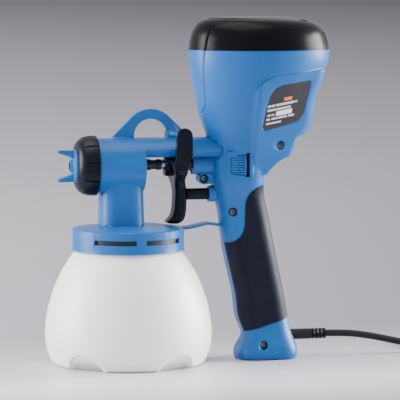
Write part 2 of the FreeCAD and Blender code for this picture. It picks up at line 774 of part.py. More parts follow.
def cheek_form(name, inset):
    """The raised cheeks and the rear of the head as one loft, drawn in by an inset."""
    wires = []
    for word, *_ in reversed(CHEEK):
        level = getattr(D, "head_%s_level" % word).value
        half = getattr(D, "head_%s_wide" % word).value + getattr(D, "cheek_%s_proud" % word).value
        rear = getattr(D, "cheek_%s_rear" % word).value - inset
        rear_half = getattr(D, "cheek_%s_rear_half" % word).value - inset
        half -= inset
        front = D.cheek_front.value
        ramp = front - D.cheek_ramp.value
        low = half - D.cheek_step.value
        middle = (front + rear) / 2
        middle_half = (half + rear_half) / 2 + getattr(D, "cheek_%s_bulge" % word).value
        points = [V(ramp, -low, 0), V(front, -half, 0), V(middle, -middle_half, 0),
                  V(rear, -rear_half, 0), V(rear, rear_half, 0), V(middle, middle_half, 0),
                  V(front, half, 0), V(ramp, low, 0)]
        corner = min(14.0 - inset, 0.8 * rear_half)
        radii = [1.0, 5.0, 50.0, corner, corner, 50.0, 5.0, 1.0]
        wires.append(rounded_polygon(points, radii, level))
    lofted = Part.makeLoft(wires, True, False)
    return feature(name, lofted)


def cheek_outline(name, inset):
    """The cheeks seen from the side: raised panel, underside and screw lobe."""
    low = D.head_root_level
    top = D.head_shoulder_level
    lobe = D.lobe_radius - inset
    slant = 0.70711
    rear = D.cheek_shoulder_rear + 6
    under = D.head_throat_level - 4.5 + inset
    points = [
        (D.cheek_front - D.cheek_ramp - 2, low + 1), (D.cheek_front - D.cheek_ramp - 2, top - 29),
        (D.cheek_front - 6 + inset, top - 27 - inset, -27.0),
        (D.cheek_front + 17, top - 5 - inset), (rear, top - inset),
        (rear, under + 5), (D.cheek_throat_rear - 1, under), (D.lobe_x + lobe + 2.5, under - 3, 6.0),
        (D.lobe_x + lobe, D.lobe_z, -lobe), (D.lobe_x + lobe * slant, D.lobe_z - lobe * slant, 34.0),
        (D.head_root_x + 22.5 - inset, low + 1),
    ]
    return slab(name, points, "XZ_Plane", 60)


def side_prism(name, points, y0, y1):
    """A prism over a side outline between two Y planes."""
    half = (as_size(y1) - y0) / 2
    return slab(name, points, "XZ_Plane", half, y=(as_size(y1) + y0) / 2)


def build_housing():
    """Both housing halves, the soft grips and the label plate."""
    head = head_form("HeadOuter", 0)
    handle = handle_form("HandleOuter", 0)
    cheeks = common("Cheeks", [cheek_form("CheekOuter", 0.0), cheek_outline("CheekSide", 0)])
    half = D.pad_half_width
    pad = slab("WindowPad", [
        (D.pad_front, D.pad_ramp + 0.2 - half), (D.pad_front + D.pad_ramp, -half), (D.pad_rear, -half),
        (D.pad_rear, half), (D.pad_front + D.pad_ramp, half), (D.pad_front, half - D.pad_ramp - 0.2)],
        "XY_Plane", (D.pad_up + D.pad_down) / 2, z=AXIS + (D.pad_up - D.pad_down) / 2)
    nose = rod("NoseOuter", D.nose_radius, "X", D.nose_face, D.nose_rear, 0, AXIS)
    lug = rod("LugOuter", D.lug_radius, "Y", -D.lug_half, D.lug_half, D.lug_x, D.lug_z)
    lug_web = block("LugWeb", D.lug_x, D.head_neck_x - 15, -D.lug_half, D.lug_half,
                    D.lug_z - D.lug_radius + 0.4, AXIS - D.nose_bore - 1.5)
    switch_boss = rod("SwitchBoss", D.guide_boss_radius, "X", D.guide_boss_front, D.stem_end - 10,
                      0, D.plunger_z)
    outer = fuse("HousingOuter", [head, handle, cheeks, pad, nose, lug, lug_web, switch_boss])

    cavity_head = head_form("HeadInner", D.wall)
    cavity_handle = handle_form("HandleInner", D.wall, D.wall)
    cavity_cheeks = common("CheeksInner", [
        cheek_form("CheekInner", D.wall.value), cheek_outline("CheekSideInner", D.wall)])
    cavity_raw = fuse("CavityRaw", [cavity_head, cavity_handle, cavity_cheeks])

    # Solids that stand in the cavity: screw bosses, spring nose, bearing wall
    screws = [
        ("Rear", D.lobe_x, D.lobe_z, D.cheek_collar_rear_half + 5.6),
        ("Front", D.lug_x, D.lug_z, D.lug_half),
        ("Mid", D.mid_screw_x, D.mid_screw_z, D.grip_hand_wide - 0.1),
        ("Foot", D.foot_screw_x, D.foot_screw_z, D.grip_flare_wide - 1.3),
    ]
    kept = []
    recesses = []
    for word, x, z, face in screws:
        if word != "Front":
            kept.append(rod(word + "Boss", D.screw_boss, "Y", -face, face, x, z))
        recesses.append(rod(word + "Recess", D.screw_recess, "Y", -face - 12,
                            -face + D.screw_recess_depth, x, z))
        recesses.append(rod(word + "Hole", D.screw_shank + D.pin_gap, "Y",
                            -face + D.screw_recess_depth - 1, face * 0.55, x, z))
    kept.append(rod("NoseInside", D.nose_radius, "X", D.head_neck_x - 24, D.nose_rear, 0, AXIS))
    kept.append(rod("BossInside", D.guide_boss_radius, "X", D.guide_boss_front,
                    D.grip_plunger_x - D.grip_plunger_deep + 5, 0, D.plunger_z))
    wall_x = D.wheel_rear + D.wheel_rear_room
    kept.append(block("StemRib", D.stem_end + 8.5, D.stem_end + 10.5, -26, 26, D.plunger_z - 9,
                      D.plunger_z + 4.5))
    for n, side in enumerate((-1, 1)):
        kept.append(rod("ClampBoss%d" % n, 3.0, "Z", 1, D.cord_z + D.cord_radius - 0.05, D.clamp_x,
                        D.clamp_half_width * (0.72 * side)))
        recesses.append(rod("ClampPilot%d" % n, 1.1, "Z", D.cord_z - 6, D.cord_z + D.cord_radius + 1,
                            D.clamp_x, D.clamp_half_width * (0.72 * side)))
    recesses.append(rod("StemRibHole", D.stem_radius + D.run_gap, "X", D.stem_end + 7, D.stem_end + 12,
                        0, D.plunger_z - D.stem_drop))
    kept.append(block("Bulkhead", wall_x, wall_x + D.bulkhead, -30, 30, AXIS - 18, AXIS + 12))
    cavity = cut_all("Cavity", cavity_raw, kept)

    tools = [cavity] + recesses
    tools.append(rod("NoseBore", D.nose_bore, "X", D.nose_face - 1, D.nose_seat, 0, AXIS))
    tools.append(rod("NeedleHole", D.needle_radius + 0.3, "X", D.nose_seat - 1, D.nose_rear + 1, 0, AXIS))
    tools.append(rod("PlungerBore", D.plunger_radius + D.pin_gap, "X", D.guide_boss_front - 1,
                     D.stem_end, 0, D.plunger_z))
    tools.append(rod("StopScrewHole", D.screw_stop_radius + D.pin_gap, "X", wall_x - 1,
                     wall_x + D.bulkhead + 1, 0, AXIS))
    tools.append(cone("WheelRoom", D.window_front_radius, D.window_rear_radius, "X",
                      D.wheel_front - D.wheel_room, wall_x + 0.4, 0, AXIS))
    tools.append(block("StaySlot", D.grip_palm_x - 34, D.stay_end_x + D.fit, -D.stay_half_width - D.fit,
                       D.stay_half_width + D.fit, D.stay_end_z - D.stay_thickness / 2 - D.fit - 0.6,
                       D.stay_end_z + D.stay_thickness / 2 + D.fit + 1.4))
    tools.append(rod("ReliefHole", D.relief_radius + D.fit, "X", D.relief_front + 4, D.relief_rear,
                     0, D.cord_z))
    tools.append(duct_form("DuctRoom", -D.fit.value, D.barrel_rear, D.duct_tail + D.fit))
    tools.append(panel_groove())
    head_top = D.head_rim_level
    tools.append(block("RimCut", 0, 200, -80, 80, head_top - 0.01, head_top + 40))
    shell = cut_all("HousingShell", outer, tools)

    # Soft grips and label lie in pockets of the same outline
    grip_pocket = slab("GripPocket", grip_outline(0), "XZ_Plane", 40)
    grip_region = slab("GripRegion", grip_outline(D.fit), "XZ_Plane", 40)
    pocket_floor = handle_form("PocketFloor", D.grip_skin - D.grip_proud + 0.05)
    grip_floor = handle_form("GripFloor", D.grip_skin - D.grip_proud)
    grip_skin = handle_form("GripSkin", -D.grip_proud)
    strip = front_strip("StripKeep", D.strip_half_width)
    strip_cut = front_strip("StripCut", D.strip_half_width + D.fit)
    pocket = cut_all("PocketSolid", grip_pocket, [pocket_floor, strip])
    rubber = cut_all("RubberSolid", common("RubberZone", [grip_skin, grip_region]),
                     [grip_floor, strip_cut])

    label_zone = side_prism("LabelPocket", label_outline(0), -70, -15)
    label_keep = side_prism("LabelRegion", label_outline(D.fit), -70, -15)
    label_floor = cheek_form("LabelFloor", D.label_depth.value + 0.05)
    label_seat = cheek_form("LabelSeat", D.label_depth.value)
    label_pocket = cut("LabelPocketSolid", label_zone, label_floor)
    label = cut("LabelSolid", common("LabelZone", [cheek_form("LabelSkin", 0.0), label_keep]), label_seat)

    carved = cut_all("HousingCarved", shell, [pocket, label_pocket])
    near = block("NearHalf", -50, 250, -90, 0, -5, 320)
    far = block("FarHalf", -50, 250, 0, 90, -5, 320)
    keep("housing_left", common("HousingLeft", [carved, near]))
    keep("housing_right", common("HousingRight", [carved, far]))
    near_grip = block("NearGrip", -50, 250, -90, -D.fit / 2, -5, 320)
    far_grip = block("FarGrip", -50, 250, D.fit / 2, 90, -5, 320)
    keep("grip_left", common("GripLeft", [rubber, near_grip]))
    keep("grip_right", common("GripRight", [rubber, far_grip]))
    keep("label_plate", label)
    build_screws(screws)


def grip_outline(inset):
    """Side outline of the soft grip; the inset draws it in."""
    deep = D.grip_palm_x - D.grip_palm_deep
    top = D.grip_palm_level
    reach = 17.0
    bend_x = deep + 16.8
    return [
        (deep - 20, top - 1.0 - inset), (deep - 0.3 + inset, top - 1.0 - inset, reach),
        (bend_x + inset, top + 16.0 - inset), (bend_x + inset + 0.4, top + 32.5, -reach),
        (D.grip_plunger_x + 18 + inset, D.grip_plunger_level + 7.2 - inset),
        (D.grip_plunger_x + 45, D.grip_plunger_level + 9.4 - inset),
        (D.grip_end_x + 45, D.grip_end_level + 11 + inset), (D.grip_end_x + 18, D.grip_end_level + 3 + inset),
        (D.grip_ankle_x - D.grip_ankle_deep - 2, D.grip_ankle_level + 3.5 + inset),
        (D.grip_ankle_x - D.grip_ankle_deep - 25, D.grip_ankle_level - 3 + inset),
    ]


def front_strip(name, half_width):
    """The bare strip down the handle's front, in front of the middle plane."""
    points = [
        (D.grip_plunger_x - 60, D.grip_plunger_level), (D.grip_ankle_x - 70, 0),
        (D.grip_ankle_x - 2, 0), (D.grip_plunger_x - 2, D.grip_plunger_level),
    ]
    return slab(name, points, "XZ_Plane", half_width)


def label_outline(inset):
    """Side outline of the label plate on the near cheek."""
    x = D.cheek_front
    z = D.head_throat_level
    return [
        (x + 20.0 + inset, z + 38.7 - inset), (x + 14.6 + inset, z + 36.0 - inset),
        (x + 10.0 + inset, z + 29.5), (x + 6.8 + inset, z + 15.3), (x + 5.7 + inset, z + 2.4 + inset, 3.2),
        (x + 9.4, z - 1.3 + inset), (x + 35.6, z + 5.2 + inset, 12.0), (x + 44.0 - inset, z + 13.4 + inset),
        (x + 48.4 - inset, z + 41.0), (x + 47.0 - inset, z + 42.4 - inset),
    ]


def panel_frame(name):
    """A prism over the groove that bounds the front panel, seen from the front."""
    foot = D.panel_foot
    corner = D.panel_corner
    width = D.groove_width
    top = D.head_rim_level + 1
    half = D.panel_foot_half
    high = D.panel_half_width
    within = corner - width
    # The sides lean out by about 11 degrees: sine 0.196, cosine 0.981
    base = half - corner * 0.981
    side = foot + corner * 0.804
    inner = base + within * 0.981
    inner_side = foot + corner - within * 0.196
    points = [
        (high, top), (high - width, top), (inner, inner_side, -within),
        (base, foot + width), (-base, foot + width, -within), (-inner, inner_side),
        (-high + width, top), (-high, top), (-half, side, corner), (-base, foot),
        (base, foot, corner), (half, side),
    ]
    return slab(name, points, "YZ_Plane", 22, x=D.panel_depth - 22)


def panel_groove():
    """The fine groove that bounds the front panel of the head."""
    return cut("PanelGroove", panel_frame("PanelFrame"), head_form("PanelFloor", D.groove_depth))


def duct_form(name, inset, start, end):
    """The air duct: round roof over a narrower lower band, drawn in by an inset."""
    roof = rod(name + "_round", D.barrel_radius - inset, "X", start, end, 0, AXIS)
    roof_zone = block(name + "_zone", as_size(start) - 1, as_size(end) + 1, -D.duct_half_width + inset,
                      D.duct_half_width - inset, AXIS + D.duct_crease + inset,
                      AXIS + D.barrel_radius + 5)
    band = block(name + "_band", start, end, -D.duct_band_half_width + inset,
                 D.duct_band_half_width - inset, AXIS + D.duct_floor + inset,
                 AXIS + D.duct_crease + inset + 0.02)
    return fuse(name, [common(name + "_roof", [roof, roof_zone]), band])


def build_screws(screws):
    """The four housing screws with their cross recesses."""
    pieces = []
    for word, x, z, face in screws:
        seat = -face + D.screw_recess_depth
        head = rod(word + "ScrewHead", D.screw_head, "Y", seat - D.screw_head_height, seat, x, z)
        shank = rod(word + "ScrewShank", D.screw_shank, "Y", seat - 0.1, face * 0.5, x, z)
        half = D.screw_head * 0.62
        bars = [
            block(word + "BarA", x - half, x + half, seat - 3, seat - 1.2, z - 0.5, z + 0.5),
            block(word + "BarB", x - 0.5, x + 0.5, seat - 3, seat - 1.2, z - half, z + half),
        ]
        pieces.append(cut_all(word + "Screw", fuse(word + "ScrewBlank", [head, shank]), bars))
    group = DOC.addObject("Part::Compound", "HousingScrews")
    group.Links = pieces
    keep("housing_screws", group)


# Spray head: barrel, column, duct and hanging loop

def build_gun_body():
    """The hollow front moulding."""
    barrel = rod("Barrel", D.barrel_radius, "X", D.barrel_front + 1.5, D.barrel_rear, 0, AXIS)
    barrel_edge = cone("BarrelEdge", D.barrel_radius - 1.2, D.barrel_radius, "X", D.barrel_front,
                       D.barrel_front + 1.5, 0, AXIS)
    spigot = rod("Spigot", D.spigot_radius, "X", D.spigot_front, D.barrel_front + 1, 0, AXIS)
    duct = duct_form("Duct", 0, D.barrel_rear - 4, D.duct_tail)
    column = rounded_loft("Column", [
        (D.lid_rim, D.column_x + 0.4, D.column_half_depth + D.column_flare,
         D.column_half_width + D.column_flare / 2, D.column_corner),
        (AXIS, D.column_x, D.column_half_depth, D.column_half_width, D.column_corner)], True)
    loop_z = AXIS + D.loop_rise
    slant = D.loop_outer * 0.70711
    foot = D.loop_outer * 1.41421
    low = AXIS + D.barrel_radius - 3
    loop = slab("LoopPlate", [
        (D.loop_x - foot - 2.6, low), (D.loop_x + foot + 2.6, low), (D.loop_x + foot, loop_z),
        (D.loop_x + slant, loop_z + slant, D.loop_outer), (D.loop_x - slant, loop_z + slant),
        (D.loop_x - foot, loop_z)], "XZ_Plane", D.loop_half_width)
    boss = rod("PivotBoss", D.pivot_boss, "Y", -D.pivot_boss_half, D.pivot_boss_half, D.pivot_x, D.pivot_z)
    boss_web = block("PivotWeb", D.pivot_x - 2.2, D.pivot_x + 2.2, -D.duct_half_width + 1,
                     D.duct_half_width - 1, AXIS + D.duct_crease + 2, D.pivot_z)
    outer = fuse("GunOuter", [barrel, barrel_edge, spigot, duct, column, loop, boss, boss_web])

    # Hollow inside, with the fluid core and riser left standing
    wall = D.barrel_wall
    hollow = fuse("GunHollow", [
        rod("BarrelHollow", D.barrel_radius - wall, "X", D.barrel_front + wall,
            D.barrel_rear - D.barrel_back, 0, AXIS),
        rod("SpigotHollow", D.spigot_radius - wall, "X", D.spigot_front - 1, D.barrel_front + wall + 1,
            0, AXIS),
        duct_form("DuctHollow", D.duct_wall, D.barrel_rear - D.barrel_back - 2,
                  D.duct_tail - D.duct_wall),
        rounded_loft("ColumnHollow", [
            (D.lid_rim - 1, D.column_x, D.column_half_depth - D.column_wall,
             D.column_half_width - D.column_wall, D.column_corner - D.column_wall),
            (AXIS, D.column_x, D.column_half_depth - D.column_wall,
             D.column_half_width - D.column_wall, D.column_corner - D.column_wall)], True),
    ])
    core = rod("FluidCore", D.core_radius, "X", D.core_front, D.barrel_rear, 0, AXIS)
    riser = rod("Riser", D.riser_radius, "Z", D.lid_rim, AXIS, D.column_x, 0)
    riser_floor = block("ColumnFloor", D.column_x - 30, D.column_x + 30, -30, 30, D.lid_rim - 2,
                        D.lid_crown + D.column_wall)
    empty = cut_all("GunEmpty", hollow, [core, riser, riser_floor])
    front = block("CoreRoom", D.spigot_front - 2, D.core_front, -12, 12, AXIS - 12, AXIS + 12)
    hole = rod("LoopHole", D.loop_hole, "Y", -10, 10, D.loop_x, AXIS + D.loop_rise)
    hole_zone = block("LoopHoleZone", D.loop_x - 30, D.loop_x + 30, -10, 10,
                      AXIS + D.barrel_radius - 0.02, AXIS + 80)
    tools = [
        empty, front, common("LoopOpening", [hole, hole_zone]),
        rod("CoreBore", D.core_bore, "X", D.core_front - 1, D.barrel_rear + 1, 0, AXIS),
        rod("RiserBore", D.riser_bore, "Z", D.lid_rim - 3, AXIS, D.column_x, 0),
        rod("PackingBore", D.packing_radius + D.pin_gap, "X",
            D.barrel_rear - D.packing_length - 3, D.barrel_rear + 1, 0, AXIS),
        rod("PinBore", D.pin_radius + D.pin_gap, "Y", -30, 30, D.pivot_x, D.pivot_z),
        block("AirMouth", D.duct_tail - D.duct_wall - D.mouth_length, D.duct_tail - D.duct_wall,
              -D.mouth_half_width, D.mouth_half_width, AXIS + D.duct_crease + 2,
              AXIS + D.barrel_radius + 2),
        lid_blank("LidRoom"),
    ]
    tube_room = rod("TubeRoom", D.tube_radius + D.pin_gap, "Z", D.lid_rim - 3,
                    D.lid_crown + D.column_wall - 1, D.column_x, 0)
    tools.append(tube_room)
    keep("gun_body", cut_all("GunBody", outer, tools))


def build_nozzle_group():
    """Nozzle, air cap, retaining ring and needle group, all about the spray axis."""
    start = D.core_front
    base = start - D.nozzle_flange
    keep("fluid_nozzle", revolved("FluidNozzle", [
        (D.nozzle_tip, D.nozzle_bore), (D.nozzle_tip, D.nozzle_tip_radius),
        (D.nozzle_tip + 3.4, D.nozzle_tip_radius + 0.5), (base - 3.0, D.nozzle_base_radius - 4.0),
        (base, D.nozzle_base_radius - 4.0), (base, D.nozzle_base_radius), (start, D.nozzle_base_radius),
        (start, D.nozzle_shank_radius), (start + D.nozzle_shank, D.nozzle_shank_radius),
        (start + D.nozzle_shank, D.nozzle_inside), (D.nozzle_tip + 7.5, D.nozzle_inside),
        (D.nozzle_tip + 2.2, D.nozzle_bore)], "X", z=AXIS))

    lip = D.ring_front + D.ring_lip
    flange_front = lip + D.fit
    plate_back = D.cap_front + D.cap_plate
    cap = body_of("AirCap")
    section = outline(sketch_on(cap, "AirCapSection", "XZ_Plane"), [
        (D.cap_boss_front, D.cap_hole), (D.cap_boss_front, D.cap_boss_radius - 1.4),
        (D.cap_front - 0.4, D.cap_boss_radius), (D.cap_front, D.cap_boss_radius + 0.6),
        (D.cap_front, D.cap_radius - 0.8), (D.cap_front + 0.8, D.cap_radius),
        (flange_front, D.cap_radius), (flange_front, D.cap_flange_radius),
        (flange_front + D.cap_flange, D.cap_flange_radius), (flange_front + D.cap_flange, D.cap_bore),
        (plate_back, D.cap_bore), (plate_back, D.cap_hole)])
    turned = cap.newObject("PartDesign::Revolution", "AirCapTurned")
    turned.Profile = section
    turned.ReferenceAxis = (section, ["H_Axis"])
    turned.Angle = 360
    side = outline(sketch_on(cap, "HornSide", "XZ_Plane"), [
        (D.cap_front + 0.5, D.horn_root_height), (D.cap_front + 0.5, D.cap_radius - 0.9),
        (D.horn_tip, D.cap_radius - 0.7), (D.horn_tip, D.horn_tip_height)])
    horn = cap.newObject("PartDesign::Pad", "Horn")
    horn.Profile = side
    horn.SideType = "Symmetric"
    bind(horn, "Length", D.horn_half_width * 2)
    DOC.recompute()
    pair = cap.newObject("PartDesign::PolarPattern", "HornPair")
    pair.Originals = [horn]
    pair.Axis = (section, ["H_Axis"])
    pair.Angle = 360
    pair.Occurrences = 2
    cap.Tip = pair
    keep("air_cap", place(cap, 0, 0, AXIS))

    ring = body_of("RetainingRing")
    bore = D.spigot_radius + D.run_gap
    knee = D.ring_front + D.ring_knee
    flange_room = D.cap_flange_radius + D.run_gap
    section = outline(sketch_on(ring, "RingSection", "XZ_Plane"), [
        (D.ring_front, D.cap_radius + D.run_gap), (D.ring_front, D.ring_flat, -D.ring_round),
        (knee, D.ring_radius - D.ring_knee_drop),
        (knee, D.ring_radius - D.ring_knee_drop + D.ring_step, -D.ring_brow),
        (D.ring_front + D.ring_full, D.ring_radius), (D.ring_rear - 1.2, D.ring_radius),
        (D.ring_rear, D.ring_radius - 1.0), (D.ring_rear, D.barrel_radius + D.run_gap),
        (D.barrel_front - 0.6, D.barrel_radius + D.run_gap), (D.barrel_front - 0.6, bore),
        (D.spigot_front - D.run_gap, bore), (D.spigot_front - D.run_gap, flange_room),
        (lip, flange_room), (lip, D.cap_radius + D.run_gap)])
    turned = ring.newObject("PartDesign::Revolution", "RingTurned")
    turned.Profile = section
    turned.ReferenceAxis = (section, ["H_Axis"])
    turned.Angle = 360
    across = outline(sketch_on(ring, "GrooveSection", "YZ_Plane"), [
        (-D.ring_groove / 2, D.ring_radius - D.ring_groove_depth),
        (D.ring_groove / 2, D.ring_radius - D.ring_groove_depth),
        (D.ring_groove / 2, D.ring_radius + 3), (-D.ring_groove / 2, D.ring_radius + 3)])
    groove = ring.newObject("PartDesign::Pocket", "Groove")
    groove.Profile = across
    groove.SideType = "Symmetric"
    bind(groove, "Length", D.ring_front * -2 + 10)
    DOC.recompute()
    grooves = ring.newObject("PartDesign::PolarPattern", "Grooves")
    grooves.Originals = [groove]
    grooves.Axis = (section, ["H_Axis"])
    grooves.Angle = 360
    grooves.Occurrences = 10
    ring.Tip = grooves
    turn = FreeCAD.Rotation(V(1, 0, 0), D.ring_turned.value)
    keep("retaining_ring", place(ring, 0, 0, AXIS, turn))

    seat = D.barrel_rear
    packing_front = seat - D.packing_length - 2.9
    keep("needle_packing", revolved("NeedlePacking", [
        (packing_front, D.needle_radius + D.pin_gap), (packing_front, D.packing_radius),
        (packing_front + D.packing_length, D.packing_radius),
        (packing_front + D.packing_length, D.needle_radius + D.pin_gap)], "X", z=AXIS))
    keep("packing_nut", revolved("PackingNut", [
        (packing_front + D.packing_length, D.needle_radius + D.run_gap),
        (packing_front + D.packing_length, D.packing_radius), (seat, D.packing_radius),
        (seat, D.nut_radius), (seat + 7.5, D.nut_radius), (seat + 8.0, D.nut_radius - 0.8),
        (seat + 13.0, D.nut_radius - 0.8), (seat + 13.5, D.nut_radius),
        (D.nut_rear, D.nut_radius - 0.3), (D.nut_rear, D.needle_radius + D.run_gap)], "X", z=AXIS))
    keep("needle_guide", revolved("NeedleGuide", [
        (D.nut_rear, D.needle_radius + D.run_gap), (D.nut_rear, D.guide_radius),
        (D.guide_rear - 0.5, D.guide_radius), (D.guide_rear, D.guide_radius - 0.5),
        (D.guide_rear, D.needle_radius + D.run_gap)], "X", z=AXIS))
    keep("fluid_needle", revolved("FluidNeedle", [
        (D.nozzle_tip - 0.2, 0), (D.nozzle_tip + 0.3, D.needle_tip_radius),
        (D.nozzle_tip + 2.4, D.needle_tip_radius), (D.nozzle_tip + 8.0, D.needle_radius),
        (D.needle_rear - 0.5, D.needle_radius), (D.needle_rear, D.needle_radius - 0.5),
        (D.needle_rear, 0)], "X", z=AXIS))
    collar_front = D.pivot_x + (D.web_rear - D.pivot_x) + D.nub_radius + 0.1
    keep("needle_collar", revolved("NeedleCollar", [
        (collar_front, D.needle_radius), (collar_front, D.collar_radius - 0.4),
        (collar_front + 0.4, D.collar_radius), (collar_front + D.collar_length, D.collar_radius),
        (collar_front + D.collar_length, D.needle_radius)], "X", z=AXIS))
    spring_start = collar_front + D.collar_length + D.fit
    keep("needle_spring", helix_spring("NeedleSpring", spring_start.value, D.nose_seat.value - 0.1,
                                       D.spring_radius.value, D.spring_wire.value, 7, AXIS.value))


# Round wires on short biarcs

def arc_from_tangent(start, tangent_point, end):
    """The arc from start to end whose two tangents meet in tangent_point."""
    middle = (start + end) * 0.5
    half = (start - middle).Length
    leg = (start - tangent_point).Length
    turn = math.acos(min(half / leg, 1.0))
    toward = tangent_point - middle
    toward.normalize()
    return Part.Arc(start, middle + toward * (half * math.tan(turn / 2)), end)


def biarc(start, start_way, end, end_way):
    """Two arcs that join two points with given directions."""
    across = end - start
    ways = start_way + end_way
    spread = 2.0 * (1.0 - start_way.dot(end_way))
    along = across.dot(ways)
    reach = (-along + math.sqrt(along * along + spread * across.dot(across))) / spread
    first = start + start_way * reach
    second = end - end_way * reach
    joint = (first + second) * 0.5
    return [arc_from_tangent(start, first, joint).toShape(),
            arc_from_tangent(joint, second, end).toShape()]


def winding(place_at, turns, lead_in, lead_out):
    """Edges of a winding, four biarcs to each turn, with straight ends."""
    steps = int(round(turns * 4))
    places = [place_at(step / 4.0) for step in range(steps + 1)]
    small = 1e-4
    ways = []
    for step in range(steps + 1):
        share = step / 4.0
        way = place_at(share + small) - place_at(share - small)
        way.normalize()
        ways.append(way)
    edges = []
    if lead_in:
        edges.append(Part.LineSegment(places[0] - ways[0] * lead_in, places[0]).toShape())
    for step in range(steps):
        edges.extend(biarc(places[step], ways[step], places[step + 1], ways[step + 1]))
    if lead_out:
        edges.append(Part.LineSegment(places[-1], places[-1] + ways[-1] * lead_out).toShape())
    return edges


def wire_tube(edges, radius):
    """One unbroken round tube along joined edges."""
    path = Part.Wire(edges)
    start = path.Edges[0].valueAt(path.Edges[0].FirstParameter)
    way = path.Edges[0].tangentAt(path.Edges[0].FirstParameter)
    ring = Part.Wire(Part.Circle(start, way, radius).toShape())
    tube = path.makePipeShell([ring], True, False)
    print("tube volume", round(tube.Volume, 1), "section x length",
          round(math.pi * radius * radius * path.Length, 1), "length", round(path.Length, 1))
    return tube


def least_gap(edges, radius, skip):
    """Least gap of a winding to itself, measured on points along it."""
    points = []
    length = 0.0
    for edge in edges:
        count = max(int(edge.Length / 2.0), 1)
        for step in range(count):
            share = edge.FirstParameter + (edge.LastParameter - edge.FirstParameter) * step / count
            points.append((length + edge.Length * step / count, edge.valueAt(share)))
        length += edge.Length
    best = 1e9
    for index, (along, point) in enumerate(points):
        for further, other in points[index + 1:]:
            if further - along > skip:
                best = min(best, (point - other).Length)
    return best - 2 * radius


def helix_spring(name, start, end, radius, wire, curls, height, offset_z=0.0):
    """A compression spring along X."""
    length = end - start - 2 * wire
    pitch = length / curls

    def place_at(share):
        angle = 2 * math.pi * share
        return V(start + wire + pitch * share, radius * math.sin(angle),
                 height + offset_z + radius * math.cos(angle))

    edges = winding(place_at, curls, 0, 0)
    print(name, "least gap", round(least_gap(edges, wire, 2 * radius), 2))
    return feature(name, wire_tube(edges, wire))


# Trigger

def build_trigger():
    """Yoke-shaped trigger, its pin, the switch plunger and the switch."""
    px, pz = D.pivot_x, D.pivot_z
    r = D.arm_radius
    arm_points = [
        (px - r, pz), (px - r - 0.2, AXIS + 10), (px - 8.6, AXIS + 1), (px - 8.4, AXIS - 4),
        (D.web_rear - 0.2, AXIS - 4), (D.web_rear + 0.9, AXIS + 2), (px + r, AXIS + 9), (px + r, pz, r),
        (px, pz + r, r)]
    arms = []
    for side, word in ((-1, "Near"), (1, "Far")):
        middle = (D.arm_inner + D.arm_thickness / 2) * side
        arms.append(slab(word + "Arm", arm_points, "XZ_Plane", D.arm_thickness / 2, y=middle))
    sections = []
    for word, *_ in YOKE:
        front, rear = (getattr(D, "yoke_%s_%s" % (word, end)) for end in ("front", "rear"))
        sections.append((getattr(D, "yoke_%s_level" % word), (front + rear) / 2, (rear - front) / 2,
                         getattr(D, "yoke_%s_half" % word), getattr(D, "yoke_%s_corner" % word)))
    yoke = rounded_loft("Yoke", sections)
    saddle = block("Saddle", px - 12.9, px - 4, -D.slot_half_width - 2, D.slot_half_width + 2,
                   AXIS - 9.7, AXIS + 1)
    nubs = []
    for side, word in ((-1, "Near"), (1, "Far")):
        inner = D.nub_inner * side
        outer = D.nub_outer * side
        low, high = (outer, inner) if side < 0 else (inner, outer)
        nubs.append(rod(word + "Nub", D.nub_radius, "Y", low, high, D.web_rear, AXIS))
        low, high = (low, -D.slot_half_width) if side < 0 else (D.slot_half_width, high)
        nubs.append(block(word + "NubRoot", D.web_rear - 4, D.web_rear, low, high,
                          AXIS - D.nub_radius, AXIS + D.nub_radius))
    whole = fuse("TriggerBlank", arms + [yoke, saddle] + nubs)
    slot = block("NeedleSlot", px - 30, px + 30, -D.nub_inner, D.nub_inner, D.slot_floor, AXIS + 30)
    wide_slot = block("GuideSlot", px - 30, D.web_rear - 2.5, -D.slot_half_width, D.slot_half_width,
                      D.slot_floor, AXIS + 30)
    slots = fuse("TriggerSlots", [slot, wide_slot])
    slot_zone = block("SlotZone", px - 40, px + 40, -D.arm_inner, D.arm_inner, D.slot_floor - 5, AXIS + 60)
    pin_hole = rod("PinHole", D.pin_radius + D.pin_gap / 2, "Y", -D.arm_inner - D.arm_thickness + 1.2,
                   D.arm_inner + D.arm_thickness - 1.2, px, pz)
    keep("trigger", cut_all("Trigger", whole, [common("SlotCut", [slots, slot_zone]), pin_hole]))
    end = D.arm_inner + D.arm_thickness - 1.3
    keep("trigger_pin", rod("TriggerPin", D.pin_radius, "Y", -end, end, px, pz))

    head = D.blade_rear + D.run_gap
    barrel = revolved("PlungerBarrel", [
        (head, 0), (head, D.plunger_radius - 1.2), (head + 1.2, D.plunger_radius),
        (D.plunger_end, D.plunger_radius), (D.plunger_end, 0)], "X", z=D.plunger_z)
    stem = rod("PlungerStem", D.stem_radius, "X", D.plunger_end - 6, D.stem_end, 0,
               D.plunger_z - D.stem_drop)
    keep("switch_plunger", fuse("SwitchPlunger", [barrel, stem]))
    switch = block("SwitchCase", D.switch_front, D.switch_front + D.switch_length,
                   -D.switch_half_width, D.switch_half_width, D.switch_bottom, D.switch_top)
    button = rod("SwitchButton", 1.2, "X", D.switch_front - 0.2, D.switch_front + 1, 0,
                 D.plunger_z - D.stem_drop)
    legs = [block("SwitchLeg%d" % n, D.switch_front + 3 + 5 * n, D.switch_front + 4 + 5 * n, -2.4, 2.4,
                  D.switch_bottom - 4, D.switch_bottom + 1) for n in range(2)]
    keep("power_switch", fuse("PowerSwitch", [switch, button] + legs))
    start = D.plunger_end.value + 0.15
    # The return spring sits round the stem against the rib behind it
    keep("plunger_spring", helix_spring("PlungerSpring", start, D.stem_end.value + 8.4,
                                        2.1, 0.35, 8, D.plunger_z.value - D.stem_drop.value))


# Flow wheel and its screw

